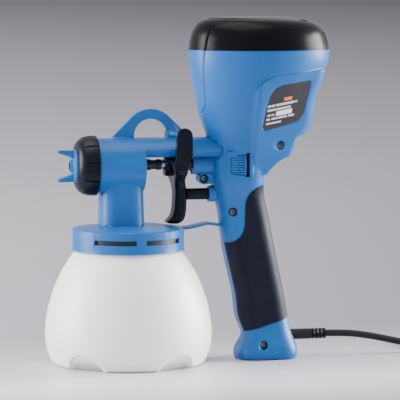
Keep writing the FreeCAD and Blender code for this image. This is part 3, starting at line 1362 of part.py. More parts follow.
def build_flow_wheel():
    """Ribbed thumb wheel on the screw that limits the needle."""
    wheel = body_of("FlowWheel")
    hub = D.screw_stop_radius + D.fit / 2
    rim = D.wheel_rim
    section = outline(sketch_on(wheel, "WheelSection", "XZ_Plane"), [
        (D.wheel_front, hub), (D.wheel_front, D.wheel_front_radius - 0.6),
        (D.wheel_front + 0.6, D.wheel_front_radius), (D.wheel_rear - rim, D.wheel_radius - 0.5),
        (D.wheel_rear - rim, D.wheel_radius), (D.wheel_rear - 0.4, D.wheel_radius),
        (D.wheel_rear, D.wheel_radius - 0.5), (D.wheel_rear, D.wheel_radius - 3.2),
        (D.wheel_front + 4.5, D.wheel_radius - 3.2), (D.wheel_front + 4.5, hub + 4),
        (D.wheel_rear, hub + 4), (D.wheel_rear, hub)])
    turned = wheel.newObject("PartDesign::Revolution", "WheelTurned")
    turned.Profile = section
    turned.ReferenceAxis = (section, ["H_Axis"])
    turned.Angle = 360
    across = outline(sketch_on(wheel, "KnurlSection", "YZ_Plane"), [
        (-0.8, D.wheel_front_radius + 1.3), (0, D.wheel_front_radius - 0.9),
        (0.8, D.wheel_front_radius + 1.3)])
    notch = wheel.newObject("PartDesign::Pocket", "Notch")
    notch.Profile = across
    notch.Reversed = True
    bind(notch, "Length", D.wheel_rear - rim)
    DOC.recompute()
    ribs = wheel.newObject("PartDesign::PolarPattern", "Ribs")
    ribs.Originals = [notch]
    ribs.Axis = (section, ["H_Axis"])
    ribs.Angle = 360
    ribs.Occurrences = 72
    wheel.Tip = ribs
    keep("flow_wheel", place(wheel, 0, 0, AXIS))
    wall = D.wheel_rear + D.wheel_rear_room
    keep("flow_screw", revolved("FlowScrew", [
        (D.wheel_front + 0.2, 0), (D.wheel_front + 0.2, D.screw_stop_radius),
        (wall + D.bulkhead + 0.4, D.screw_stop_radius), (wall + D.bulkhead + 0.4, D.screw_stop_radius + 1.4),
        (wall + D.bulkhead + 2.0, D.screw_stop_radius + 1.4), (wall + D.bulkhead + 2.0, 0)], "X", z=AXIS))


# Motor and turbine

def build_motor():
    """Field, armature, bearings, brushes, fan and shroud on the vertical axis."""
    x = D.motor_x
    base = D.motor_base
    top_z = D.stator_bottom + D.stator_height
    bore = D.armature_radius + D.armature_gap
    stack = rod("FieldStack", D.stator_radius, "Z", D.stator_bottom, top_z, x, 0)
    hole = rod("FieldBore", bore, "Z", D.stator_bottom - 1, top_z + 1, x, 0)
    flats = [block("FieldFlat%d" % n, x - 40, x + 40, y, y + 20, D.stator_bottom - 1, top_z + 1)
             for n, y in enumerate((D.stator_radius - 4, -D.stator_radius - 16))]
    keep("motor_field", cut_all("MotorField", stack, [hole] + flats))
    coils = []
    for n, side in enumerate((-1, 1)):
        ring = rod("Winding%dOuter" % n, D.stator_radius - 4, "Z", top_z + 0.1, top_z + 6, x, 0)
        inner = rod("Winding%dInner" % n, bore + 1, "Z", top_z, top_z + 7, x, 0)
        half = block("Winding%dHalf" % n, x - 40, x + 40, 1.5 if side > 0 else -41.5,
                     41.5 if side > 0 else -1.5, top_z - 1, top_z + 8)
        coils.append(common("Winding%d" % n, [cut("Winding%dRing" % n, ring, inner), half]))
    group = DOC.addObject("Part::Compound", "FieldWindings")
    group.Links = coils
    keep("field_windings", group)

    armature = body_of("Armature")
    section = outline(sketch_on(armature, "ArmatureSection", "XZ_Plane"), [
        (D.shaft_radius, D.stator_bottom + 1), (D.armature_radius, D.stator_bottom + 1),
        (D.armature_radius, top_z - 1), (D.shaft_radius, top_z - 1)])
    turned = armature.newObject("PartDesign::Revolution", "ArmatureTurned")
    turned.Profile = section
    turned.ReferenceAxis = (section, ["V_Axis"])
    turned.Angle = 360
    across = outline(sketch_on(armature, "SlotSection", "XY_Plane"), [
        (D.armature_radius - 3, -0.7), (D.armature_radius + 1, -0.7), (D.armature_radius + 1, 0.7),
        (D.armature_radius - 3, 0.7)])
    groove = armature.newObject("PartDesign::Pocket", "ArmatureSlot")
    groove.Profile = across
    groove.SideType = "Symmetric"
    bind(groove, "Length", top_z * 2)
    DOC.recompute()
    slots = armature.newObject("PartDesign::PolarPattern", "ArmatureSlots")
    slots.Originals = [groove]
    slots.Axis = (section, ["V_Axis"])
    slots.Angle = 360
    slots.Occurrences = 12
    armature.Tip = slots
    keep("motor_armature", place(armature, x))

    shaft_top = D.fan_bottom + D.fan_height + 2
    keep("motor_shaft", rod("MotorShaft", D.shaft_radius, "Z", D.shaft_bottom, shaft_top, x, 0))
    bearing_top = base
    keep("commutator", revolved("Commutator", [
        (D.shaft_radius, base + D.plate_thickness + 1), (D.commutator_radius, base + D.plate_thickness + 1),
        (D.commutator_radius, D.stator_bottom - 0.5), (D.shaft_radius, D.stator_bottom - 0.5)], "Z", x))
    bearings = []
    for n, low in enumerate((bearing_top - D.bearing_height, top_z + 6.6)):
        bearings.append(revolved("Bearing%d" % n, [
            (D.shaft_radius + D.pin_gap, low), (D.bearing_radius, low),
            (D.bearing_radius, low + D.bearing_height - 2),
            (D.shaft_radius + D.pin_gap, low + D.bearing_height - 2)], "Z", x))
    group = DOC.addObject("Part::Compound", "Bearings")
    group.Links = bearings
    keep("motor_bearings", group)
    bearing_seat = rod("BearingSeat", D.bearing_radius + 2, "Z", base - D.bearing_height + 0.2, base, x, 0)
    bearing_hole = rod("BearingSeatHole", D.bearing_radius + 0.02, "Z", base - 8, base - 0.9, x, 0)
    plate_zone = block("PlateZone", 0, 200, -80, 80, base, base + D.plate_thickness)
    inside = fuse("PlateInside", [
        head_form("PlateHead", D.wall + D.run_gap),
        common("PlateCheeks", [cheek_form("PlateCheek", D.wall.value + D.run_gap.value),
                               cheek_outline("PlateCheekSide", D.wall + D.run_gap)])])
    plate = common("PlateBlank", [plate_zone, inside])
    shaft_hole = rod("PlateShaftHole", D.shaft_radius + 1.2, "Z", base - 8, base + 5, x, 0)
    air_hole = block("PlateAirHole", D.duct_tail - 6.5, D.duct_tail, -D.mouth_half_width,
                     D.mouth_half_width, base - 1, base + D.plate_thickness + 1)
    posts = []
    for n, angle in enumerate((45, 135, 225, 315)):
        post = rod("Post%d" % n, 2.2, "Z", base + D.plate_thickness - 0.1, D.stator_bottom,
                   x + D.stator_radius * (0.84 * math.cos(math.radians(angle))),
                   D.stator_radius * (0.84 * math.sin(math.radians(angle))))
        posts.append(post)
    blank = fuse("PlateWhole", [plate, bearing_seat] + posts)
    keep("motor_plate", cut_all("MotorPlate", blank, [shaft_hole, air_hole, bearing_hole]))
    brushes = []
    low = base + D.plate_thickness
    for n, side in enumerate((-1, 1)):
        y0 = D.commutator_radius + 0.3
        y1 = D.commutator_radius + 12
        near, far = (y0, y1) if side > 0 else (-y1, -y0)
        brushes.append(block("Brush%d" % n, x - 3, x + 3, near, far, low, low + 6))
    group = DOC.addObject("Part::Compound", "BrushHolders")
    group.Links = brushes
    keep("brush_holders", group)
    bridge = revolved("Bridge", [
        (D.bearing_radius + 0.02, top_z + 6.9), (D.bearing_radius + 2, top_z + 6.9),
        (D.bearing_radius + 2, top_z + 8.4), (D.stator_radius, top_z + 8.4),
        (D.stator_radius, D.stator_bottom + D.stator_height + 0.1),
        (D.stator_radius + 1.4, D.stator_bottom + D.stator_height + 0.1),
        (D.stator_radius + 1.4, top_z + 9.8), (D.bearing_radius + 0.02, top_z + 9.8)], "Z", x)
    bridge_holes = [rod("BridgeHole%d" % n, 5.0, "Z", top_z + 7, top_z + 11,
                        x + 18 * math.cos(math.radians(60 * n)), 18 * math.sin(math.radians(60 * n)))
                    for n in range(6)]
    keep("motor_bridge", cut_all("MotorBridge", bridge, bridge_holes))

    fan = body_of("Fan")
    low, high = D.fan_bottom, D.fan_bottom + D.fan_height
    section = outline(sketch_on(fan, "FanSection", "XZ_Plane"), [
        (D.shaft_radius, low), (D.fan_radius, low), (D.fan_radius, low + D.fan_disc),
        (D.shaft_radius + 5, low + D.fan_disc), (D.shaft_radius + 3, high), (D.shaft_radius, high)])
    turned = fan.newObject("PartDesign::Revolution", "FanTurned")
    turned.Profile = section
    turned.ReferenceAxis = (section, ["V_Axis"])
    turned.Angle = 360
    blade = outline(sketch_on(fan, "FanBlade", "XY_Plane", low), [
        (D.shaft_radius + 9, -0.6), (D.fan_radius - 1, 9.4), (D.fan_radius - 1.6, 10.6),
        (D.shaft_radius + 9, 0.6)])
    vane = fan.newObject("PartDesign::Pad", "FanVane")
    vane.Profile = blade
    bind(vane, "Length", D.fan_height - 0.4)
    DOC.recompute()
    vanes = fan.newObject("PartDesign::PolarPattern", "FanVanes")
    vanes.Originals = [vane]
    vanes.Axis = (section, ["V_Axis"])
    vanes.Angle = 360
    vanes.Occurrences = 12
    fan.Tip = vanes
    keep("turbine_fan", place(fan, x))

    wall = D.shroud_wall
    floor = low - 1.4
    roof = high + 1.0
    shroud = revolved("Shroud", [
        (D.stator_radius + 1.4, floor - wall), (D.shroud_radius, floor - wall), (D.shroud_radius, roof + wall),
        (D.inlet_radius, roof + wall), (D.inlet_radius, roof), (D.shroud_radius - wall, roof),
        (D.shroud_radius - wall, floor), (D.stator_radius + 1.4, floor)], "Z", x)
    ports = [rod("ShroudPort%d" % n, 4.0, "Z", floor - 4, floor + 1,
                 x + 36 * math.cos(math.radians(30 * n)), 36 * math.sin(math.radians(30 * n)))
             for n in range(12)]
    keep("fan_shroud", cut_all("FanShroud", shroud, ports))
    foam = roof + wall + 0.2
    keep("air_filter", revolved("AirFilter", [
        (0, foam), (D.filter_radius, foam), (D.filter_radius, foam + D.filter_height - 1),
        (D.filter_radius - 1, foam + D.filter_height), (0, foam + D.filter_height)], "Z", x))


# Top cover

def cover_form(name, inset, seam):
    """The domed cover over the head's rim section."""
    sections = [(D.head_rim_level + seam, D.head_rim_x, D.head_rim_long - inset,
                 D.head_rim_wide - inset)]
    for word, *_ in COVER:
        level = getattr(D, "cover_%s_level" % word)
        if word == "top":
            level = level - inset
        sections.append((level, getattr(D, "cover_%s_x" % word),
                         getattr(D, "cover_%s_long" % word) - inset,
                         getattr(D, "cover_%s_wide" % word) - inset))
    return ellipse_loft(name, sections)


def build_cover():
    """Domed cover with screw recesses and rear air slots."""
    outer = cover_form("CoverOuter", 0, D.cover_seam)
    inner = cover_form("CoverInner", D.wall, D.cover_seam - 0.5)
    posts = []
    holes = []
    screws = []
    for n, side in enumerate((-1, 1)):
        y = D.cover_screw_y * side
        floor = D.cover_recess_floor
        posts.append(rod("CoverPost%d" % n, 4.2, "Z", D.head_rim_level + D.cover_seam, floor + 12,
                         D.cover_screw_x, y))
        holes.append(rod("CoverRecess%d" % n, D.screw_head + 0.3, "Z", floor, floor + 20,
                         D.cover_screw_x, y))
        holes.append(rod("CoverHole%d" % n, D.screw_shank + D.pin_gap, "Z", D.head_rim_level - 2, floor + 1,
                         D.cover_screw_x, y))
        head = rod("CoverScrewHead%d" % n, D.screw_head, "Z", floor, floor + D.screw_head_height,
                   D.cover_screw_x, y)
        shank = rod("CoverScrewShank%d" % n, D.screw_shank, "Z", D.head_rim_level + 2, floor + 0.1,
                    D.cover_screw_x, y)
        bar = block("CoverScrewBar%d" % n, D.cover_screw_x - 2, D.cover_screw_x + 2, y - 0.5, y + 0.5,
                    floor + 1.2, floor + 4)
        screws.append(cut("CoverScrew%d" % n, fuse("CoverScrewBlank%d" % n, [head, shank]), bar))
    hollow = cut_all("CoverHollow", inner, posts)
    slots = []
    for n in range(-4, 5):
        slot = block("IntakeSlot%d" % (n + 4), D.head_rim_x + D.head_rim_long - 16,
                     D.head_rim_x + D.head_rim_long + 6, D.intake_width * (n * 2.0) - D.intake_width / 2,
                     D.intake_width * (n * 2.0) + D.intake_width / 2, D.intake_low, D.intake_high)
        slots.append(slot)
    high = D.panel_half_width
    grooves = []
    for word, y0, y1 in (("Near", -high, D.groove_width - high), ("Far", high - D.groove_width, high)):
        line = block(word + "CoverLine", D.panel_depth - 44, D.panel_depth, y0, y1, D.head_rim_level,
                     D.head_rim_level + 40)
        floor = cover_form(word + "CoverFloor", D.groove_depth * 0.9, D.cover_seam - 0.5)
        place(floor, 0, 0, -D.groove_depth * 0.4)
        grooves.append(cut(word + "CoverGroove", line, floor))
    shell = cut_all("CoverShell", outer, [hollow] + holes + slots)
    near_lined = cut("CoverLined", shell, grooves[0])
    cover = cut("TopCover", near_lined, grooves[1])
    for step in (near_lined, cover):
        step.Refine = False
    keep("top_cover", cover)
    group = DOC.addObject("Part::Compound", "CoverScrews")
    group.Links = screws
    keep("cover_screws", group)


# Cup, lid and pickup

def lid_blank(name):
    """The lid's outer form without its hollow."""
    edge = D.lid_chamfer
    return revolved(name, [
        (0, D.lid_bottom), (D.lid_radius + D.lid_bead, D.lid_bottom),
        (D.lid_radius + D.lid_bead, D.lid_bottom + D.lid_bead_height),
        (D.lid_radius, D.lid_bottom + D.lid_bead_height + 0.5), (D.lid_radius, D.lid_rim - edge),
        (D.lid_radius - edge, D.lid_rim), (D.lid_crown_radius, D.lid_crown), (0, D.lid_crown)])


def build_cup():
    """Lid, thread ring, gasket, cup, pickup tube and stay arm."""
    inside = D.lid_radius - D.lid_wall
    ceiling = D.cup_top + D.gasket_height + D.fit
    hollow = rod("LidHollow", inside, "Z", D.lid_bottom - 1, ceiling, 0, 0)
    slots = []
    for n in range(4):
        turn = D.slot_start.value
        if n % 2:
            turn = -D.slot_start.value - D.slot_angle.value
        turn += D.slot_turn.value - 90 + 180 * (n // 2)
        ring = rod("LidSlot%d" % n, D.lid_radius + 6, "Z", D.slot_low, D.slot_low + D.slot_height, 0, 0,
                   D.slot_angle, FreeCAD.Rotation(V(0, 0, 1), turn))
        core = rod("LidSlotCore%d" % n, inside - 1, "Z", D.slot_low - 1, D.slot_low + D.slot_height + 1, 0, 0)
        slots.append(cut("LidSlotTool%d" % n, ring, core))
    tube_hole = rod("LidTubeHole", D.tube_radius + D.pin_gap, "Z", ceiling - 1, D.lid_crown + 1, D.column_x, 0)
    keep("cup_lid", cut_all("CupLid", lid_blank("LidBlank"), [hollow, tube_hole] + slots))
    outer = inside - D.fit
    keep("thread_ring", revolved("ThreadRing", [
        (outer - D.thread_wall, D.lid_bottom + 1.2), (outer, D.lid_bottom + 1.2),
        (outer, ceiling - 0.1), (outer - D.thread_wall, ceiling - 0.1)]))
    neck = D.cup_neck_radius
    keep("cup_gasket", revolved("CupGasket", [
        (neck - D.cup_wall - 0.6, D.cup_top + 0.05), (neck - 0.2, D.cup_top + 0.05),
        (neck - 0.2, D.cup_top + D.gasket_height), (neck - D.cup_wall - 0.6, D.cup_top + D.gasket_height)]))
    build_cup_shell()
    keep("pickup_tube", revolved("PickupTube", [
        (D.tube_bore, D.tube_bottom), (D.tube_radius, D.tube_bottom),
        (D.tube_radius, D.lid_crown + D.column_wall - 1.1), (D.tube_bore, D.lid_crown + D.column_wall - 1.1)],
        "Z", D.column_x))
    low = D.filter_cup_bottom
    sieve = revolved("Sieve", [
        (0, low), (D.filter_cup_radius, low), (D.filter_cup_radius, low + D.filter_cup_height),
        (D.tube_radius + D.fit, low + D.filter_cup_height), (D.tube_radius + D.fit, D.tube_bottom - D.fit),
        (0, D.tube_bottom - D.fit)], "Z", D.column_x)
    grooves = [rod("SieveHole%d" % n, 1.2, "Y", -12, 12, D.column_x, low + 2.2) for n in range(1)]
    keep("pickup_filter", cut_all("PickupFilter", sieve, grooves))
    t = D.stay_thickness / 2
    root = D.lid_radius - 0.6
    stay = slab("StayArm", [
        (root, D.stay_root_z - t), (D.lid_radius + 6, D.stay_root_z - t + 0.6),
        (D.stay_knee_x, D.stay_knee_z - t * 2), (D.stay_end_x, D.stay_end_z - t),
        (D.stay_end_x, D.stay_end_z + t), (D.stay_knee_x, D.stay_knee_z), (D.lid_radius + 6, D.stay_root_z + t + 0.6),
        (root, D.stay_root_z + t)], "XZ_Plane", D.stay_half_width)
    keep("stay_arm", cut("StayArmFitted", stay, rod("StayLidRoom", D.lid_radius + 0.02, "Z", D.lid_bottom,
                                                    D.lid_rim + 5, 0, 0)))


def cup_profile(inset, lift, beyond=0):
    """Half section points of the cup, drawn in by an inset, with a raised floor."""
    foot = D.cup_foot_radius - inset
    round_off = D.cup_foot_round
    wide = D.cup_radius - inset
    shoulder = D.cup_shoulder_radius - inset
    neck = D.cup_neck_radius - inset
    return [
        (0, lift), (foot - round_off, lift, round_off + 1.2), (foot + 0.8, lift + round_off * 0.7, D.cup_lower_bulge),
        (wide, D.cup_wide_z, D.cup_bulge - inset), (shoulder, D.cup_shoulder_z - 0.6 * inset, 3.0),
        (neck, D.cup_shoulder_z + 1.4 - inset), (neck, D.cup_top + beyond), (0, D.cup_top + beyond)]


def dent_tools(name, grow):
    """Five arched dents round the foot of the cup, grown by a wall."""
    slope = math.hypot(D.dent_reach.value, D.dent_height.value)
    out_x, out_z = D.dent_reach.value / slope, D.dent_height.value / slope
    radius = D.dent_radius.value + grow
    top = V(D.dent_inset.value + D.dent_reach.value, 0, D.dent_height.value)
    centre = top - V(out_x, 0, out_z) * D.dent_radius.value
    normal = V(out_z, 0, -out_x)
    dents = []
    for number in range(5):
        tool = Part.makeCylinder(radius, 40, centre - normal * grow, normal)
        soft = [edge for edge in tool.Edges if (edge.CenterOfMass - centre).dot(normal) < 1.0 + grow
                and abs((edge.CenterOfMass - centre).dot(normal)) < grow + 1.0 and edge.Closed]
        tool = tool.makeFillet(5.0 + grow, soft)
        tool.rotate(V(0, 0, 0), V(0, 0, 1), D.dent_turn.value + 72 * number)
        dents.append(feature("%s%d" % (name, number), tool))
    return dents


def build_cup_shell():
    """Blow-moulded cup with its five dents and threaded neck."""
    outer = cut_all("CupOuter", revolved("CupOuterTurned", cup_profile(0, 0)), dent_tools("Dent", 0.0))
    inner = cut_all("CupInner", revolved("CupInnerTurned", cup_profile(D.cup_wall, D.cup_wall, 2)),
                    dent_tools("InnerDent", D.cup_wall.value))
    keep("cup", cut("Cup", outer, inner))


# Cord, strain relief, clamp and plug

def round_route(points, radius_share=0.45):
    """Straight runs joined by the largest arcs that the runs allow."""
    edges = []
    radii = []
    last = points[0]
    for index in range(1, len(points) - 1):
        before, corner, after = points[index - 1], points[index], points[index + 1]
        back = before - corner
        ahead = after - corner
        shorter = min(back.Length, ahead.Length)
        turn = math.pi - back.getAngle(ahead)
        cut_back = radius_share * shorter
        radii.append(round(cut_back / math.tan(turn / 2), 1))
        start = corner + back.normalize() * cut_back
        end = corner + ahead.normalize() * cut_back
        edges.append(Part.LineSegment(last, start).toShape())
        edges.append(arc_from_tangent(start, corner, end).toShape())
        last = end
    edges.append(Part.LineSegment(last, points[-1]).toShape())
    print("cord radii", radii)
    return edges


def build_cord():
    """Strain relief, free cord, put-away coil, tail and plug."""
    r = D.cord_radius
    z = D.cord_z
    rib = D.relief_radius
    core = D.relief_core
    points = [(D.relief_front, 0), (D.relief_front, D.relief_flange), (D.relief_front + 2.5, D.relief_flange),
              (D.relief_front + 2.5, rib), (D.relief_plain, rib)]
    pitch = (D.relief_rear - D.relief_plain) / 4
    for number in range(4):
        left = D.relief_plain + pitch * number
        points += [(left, core), (left + pitch * 0.42, core), (left + pitch * 0.42, rib),
                   (left + pitch * 0.98, rib)]
    points += [(D.relief_rear, rib - 0.3), (D.relief_rear, 0)]
    keep("strain_relief", revolved("StrainRelief", points, "X", z=z))
    keep("cord_lead", rod("CordLead", r, "X", D.clamp_x - 4, D.relief_front, 0, z))
    build_clamp_and_wires(z, z + r)

    ground = r.value + 0.05
    coil_x = D.coil_x.value
    outer = D.coil_outer.value
    lead = 2 * r.value
    turns = 7.0
    pitch_r = D.coil_pitch.value
    middle = V(coil_x, outer, 0)

    def place_at(share):
        half = turns / 2
        inward = share if share <= half else turns - share
        radius = outer - pitch_r * inward
        climb = min(max((share - (half - 0.25)) / 0.5, 0.0), 1.0)
        height = ground + pitch_r * climb
        angle = -math.pi / 2 + 2 * math.pi * share
        return middle + V(radius * math.cos(angle), radius * math.sin(angle), height)

    coil = winding(place_at, turns, lead, lead)
    print("coil least gap", round(least_gap(coil, r.value, 60), 2))
    keep("cord_coil", feature("CordCoil", wire_tube(coil, r.value)))
    # Chosen by hand: level out of the relief, then down on the table to the coil
    first = coil[0].valueAt(coil[0].FirstParameter)
    ahead = coil[0].tangentAt(coil[0].FirstParameter)
    leave = V(D.relief_rear.value, 0, z.value)
    route = [leave, leave + V(18, 0, 0), V(221, 0.2, 16.4), V(246, 0.4, 10.6), V(272, 0.3, 5.0),
             first - ahead * 20, first]
    keep("cord_run", feature("CordRun", wire_tube(round_route(route), r.value)))
    tail_start = coil[-1].valueAt(coil[-1].LastParameter)
    way = coil[-1].tangentAt(coil[-1].LastParameter)
    plug_x = tail_start.x + 62
    plug_y = tail_start.y - 9.0
    plug_z = D.plug_half_height.value + 0.05
    tail = [tail_start, tail_start + way * 19, V(tail_start.x + 41, plug_y + 4.0, plug_z),
            V(plug_x, plug_y, plug_z)]
    keep("cord_tail", feature("CordTail", wire_tube(round_route(tail), r.value)))
    build_plug(plug_x, plug_y, plug_z, (tail[-1] - tail[-2]).normalize())


def build_clamp_and_wires(z, top):
    """Clamp bar over the cord, its screws, and the wires up to the switch."""
    high = top + 2.4
    bar = block("ClampBar", D.clamp_x - 3, D.clamp_x + 3, -D.clamp_half_width, D.clamp_half_width, top, high)
    holes = []
    screws = []
    for n, side in enumerate((-1, 1)):
        y = D.clamp_half_width * (0.72 * side)
        holes.append(rod("ClampHole%d" % n, 1.15, "Z", top - 1, high + 1, D.clamp_x, y))
        head = rod("ClampScrewHead%d" % n, 2.4, "Z", high, high + 1.6, D.clamp_x, y)
        shank = rod("ClampScrewShank%d" % n, 1.05, "Z", z - 4, high + 0.1, D.clamp_x, y)
        screws.append(fuse("ClampScrew%d" % n, [head, shank]))
    keep("cord_clamp", cut_all("CordClamp", bar, holes))
    group = DOC.addObject("Part::Compound", "ClampScrews")
    group.Links = screws
    keep("clamp_screws", group)
    wires = []
    for side, leg in ((-1, 3.5), (1, 8.5)):
        y = 1.2 * side
        end_x = D.switch_front.value + leg
        low = D.switch_bottom.value - 4
        route = [V(D.clamp_x.value - 4, y, z.value), V(D.clamp_x.value - 14, y, z.value + 3),
                 V(D.clamp_x.value - 19, y, z.value + 22), V(106, y, 75), V(end_x, y, low - 24),
                 V(end_x, y, low)]
        wires.append(wire_tube(round_route(route), 0.9))
    keep("switch_wires", feature("SwitchWires", Part.makeCompound(wires)))
    keep("noise_capacitor", block("NoiseCapacitor", D.switch_front - 7, D.switch_front - 1.2, -6, 6,
                                  D.switch_bottom - 16, D.switch_bottom - 2))


def build_plug(x, y, z, way):
    """A plain two-blade plug lying beside the coil."""
    half_w = D.plug_half_width.value
    half_h = D.plug_half_height.value
    length = D.plug_length.value
    r = D.cord_radius.value

    def ring(at, wide, high, corner):
        points = [V(-wide, -high, 0), V(wide, -high, 0), V(wide, high, 0), V(-wide, high, 0)]
        wire = rounded_polygon(points, [corner] * 4, at)
        return wire

    sections = [ring(0, r + 2, r + 2, 4.6), ring(9, r + 3.4, r + 3.2, 4.6),
                ring(17, half_w, half_h, 5.0), ring(length, half_w - 0.8, half_h - 0.6, 5.0)]
    body = Part.makeLoft(sections, True, True)
    blades = []
    for side in (-1, 1):
        blade = Part.makeBox(1.6, 6.4, D.blade_length.value)
        blade.translate(V(side * 6.35 - 0.8, -3.2, length))
        blades.append(blade)
    turn = FreeCAD.Rotation(V(0, 0, 1), way)
    upright = FreeCAD.Rotation(V(0, 0, 1), 90 + math.degrees(math.atan2(way.y, way.x)))
    home = FreeCAD.Placement(V(x, y, z), turn.multiply(upright))
    for name, shape in (("plug_body", body), ("plug_blades", Part.makeCompound(blades))):
        piece = feature("Part_" + name, shape)
        piece.Placement = home
        keep(name, piece)


def check_and_write():
    """Stop on any failed object or bad shape, then write one file per sub-part."""
    DOC.recompute()
    failed = []
    for item in DOC.Objects:
        if "Invalid" in item.State or "Error" in item.State:
            failed.append(item.Label)
    for name, item in SUB_PARTS.items():
        shape = item.Shape
        if shape.isNull() or not shape.isValid() or not shape.Solids:
            failed.append(name + " shape")
        else:
            box = shape.BoundBox
            print("%-18s solids %d faces %4d volume %9.1f  x %.1f..%.1f y %.1f..%.1f z %.1f..%.1f" % (
                name, len(shape.Solids), len(shape.Faces), shape.Volume,
                box.XMin, box.XMax, box.YMin, box.YMax, box.ZMin, box.ZMax))
    if failed:
        raise RuntimeError("failed: " + ", ".join(failed))
    os.makedirs("parts", exist_ok=True)
    for name, item in SUB_PARTS.items():
        item.Shape.exportStep("parts/" + name + ".step")
    print(len(SUB_PARTS), "sub-parts written")


build_housing()
build_gun_body()
build_nozzle_group()
build_trigger()
build_flow_wheel()
build_motor()
build_cover()
build_cup()
build_cord()
check_and_write()
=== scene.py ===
"""Looks of a corded hand-held turbine paint sprayer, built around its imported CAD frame.

Metres, +Z up. The cup's foot stands at the origin, the nozzle points along -X and
the handle and the cord are at +X.
"""

from __future__ import annotations

import logging
import math
from contextlib import contextmanager
from dataclasses import dataclass
from enum import Enum
from typing import Callable, ClassVar, Iterator, Sequence

import bpy
from mathutils import Matrix, Vector


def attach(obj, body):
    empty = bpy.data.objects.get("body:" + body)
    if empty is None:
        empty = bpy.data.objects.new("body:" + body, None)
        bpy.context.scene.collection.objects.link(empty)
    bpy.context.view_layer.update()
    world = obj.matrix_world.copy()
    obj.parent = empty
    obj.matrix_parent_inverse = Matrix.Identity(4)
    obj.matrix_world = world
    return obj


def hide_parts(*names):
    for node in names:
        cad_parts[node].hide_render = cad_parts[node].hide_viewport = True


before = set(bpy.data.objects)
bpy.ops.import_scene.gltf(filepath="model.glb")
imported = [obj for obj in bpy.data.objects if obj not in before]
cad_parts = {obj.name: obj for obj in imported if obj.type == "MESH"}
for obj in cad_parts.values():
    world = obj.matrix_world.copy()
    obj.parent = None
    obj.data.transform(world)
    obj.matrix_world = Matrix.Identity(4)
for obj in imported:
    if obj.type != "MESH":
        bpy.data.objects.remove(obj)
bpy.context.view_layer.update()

MM = 0.001
TURN = 2.0 * math.pi
MERGE = 2e-6
LOG = logging.getLogger("sprayer")

Pair = tuple[float, float]
Point = tuple[float, float, float]
Four = tuple[float, float, float, float]
Colour = Four
Test = Callable[[Vector, Vector], bool]


class Axis(Enum):
    """A direction that a turned or extruded piece follows."""

    X = Vector((1.0, 0.0, 0.0))
    Y = Vector((0.0, 1.0, 0.0))
    Z = Vector((0.0, 0.0, 1.0))

    def across(self) -> Vector:
        """The direction in which a turned piece's radius is measured."""
        return (Axis.X if self is Axis.Z else Axis.Z).value


class Pick(Enum):
    """What edit mode selects."""

    VERTS = "VERT"
    EDGES = "EDGE"
    FACES = "FACE"


class Body(Enum):
    """Rigid bodies of the frame that skins ride on."""

    SPRAYER = "sprayer"
    TRIGGER = "trigger"
    NEEDLE = "needle"
    PLUNGER = "plunger"
    FLOW_KNOB = "flow_knob"
    AIR_CAP = "air_cap"
    FRONT_RING = "front_ring"
    CUP = "cup"


def srgb(red: int, green: int, blue: int) -> Colour:
    """Turn a colour's levels on a screen, from 0 to 255, into linear light with full alpha."""
    shares = (level / 255.0 for level in (red, green, blue))
    return (*(share / 12.92 if share <= 0.04045 else ((share + 0.055) / 1.055) ** 2.4
              for share in shares), 1.0)


# Shader trees


class Signal:
    """A value in a shader tree; Python's operators on it add Math nodes."""

    def __init__(self, tree: Tree, socket: bpy.types.NodeSocket) -> None:
        """Wrap one output socket."""
        self.tree = tree
        self.socket = socket

    def _math(self, operation: str, *others: Signal | float, swap: bool = False) -> Signal:
        """Join this value and others in one Math node.

        Args:
            operation: The Math node's operation.
            others: Further values or signals.
            swap: True if this value comes second.

        Returns:
            The node's result.
        """
        values = [self, *others]
        if swap:
            values.reverse()
        return self.tree.node("ShaderNodeMath", {"operation": operation}, dict(enumerate(values)))

    def __add__(self, other: Signal | float) -> Signal:
        """Sum."""
        return self._math("ADD", other)

    def __radd__(self, other: float) -> Signal:
        """Sum with a number first."""
        return self._math("ADD", other)

    def __sub__(self, other: Signal | float) -> Signal:
        """Difference."""
        return self._math("SUBTRACT", other)

    def __rsub__(self, other: float) -> Signal:
        """Difference with a number first."""
        return self._math("SUBTRACT", other, swap=True)

    def __mul__(self, other: Signal | float) -> Signal:
        """Product."""
        return self._math("MULTIPLY", other)

    def __rmul__(self, other: float) -> Signal:
        """Product with a number first."""
        return self._math("MULTIPLY", other)

    def __truediv__(self, other: Signal | float) -> Signal:
        """Quotient."""
        return self._math("DIVIDE", other)

    def __rtruediv__(self, other: float) -> Signal:
        """Quotient with a number first."""
        return self._math("DIVIDE", other, swap=True)

    def __pow__(self, other: float) -> Signal:
        """Power."""
        return self._math("POWER", other)

    def at_most(self, other: Signal | float) -> Signal:
        """The smaller of two values."""
        return self._math("MINIMUM", other)

    def at_least(self, other: Signal | float) -> Signal:
        """The larger of two values."""
        return self._math("MAXIMUM", other)

    def clamped(self, low: float, high: float) -> Signal:
        """The value kept between two limits."""
        return self.at_least(low).at_most(high)

    def whole(self) -> Signal:
        """The value rounded down."""
        return self._math("FLOOR")

    def ripple(self, pitch: float) -> Signal:
        """A wave between 0 and 1 that repeats after a pitch in millimetres."""
        return (self * (TURN / (pitch * MM)))._math("SINE") * 0.5 + 0.5

    def log(self, base: float) -> Signal:
        """Logarithm to a base."""
        return self._math("LOGARITHM", base)

    def eased(self, low: float, high: float) -> Signal:
        """Rise smoothly from 0 at low to 1 at high."""
        return self.tree.node("ShaderNodeMapRange", {"interpolation_type": "SMOOTHSTEP"},
                              {"Value": self, "From Min": low, "From Max": high})

    def within(self, low: float, high: float, soft: float) -> Signal:
        """One between low and high with soft ends."""
        return self.eased(low - soft, low + soft) * (1.0 - self.eased(high - soft, high + soft))


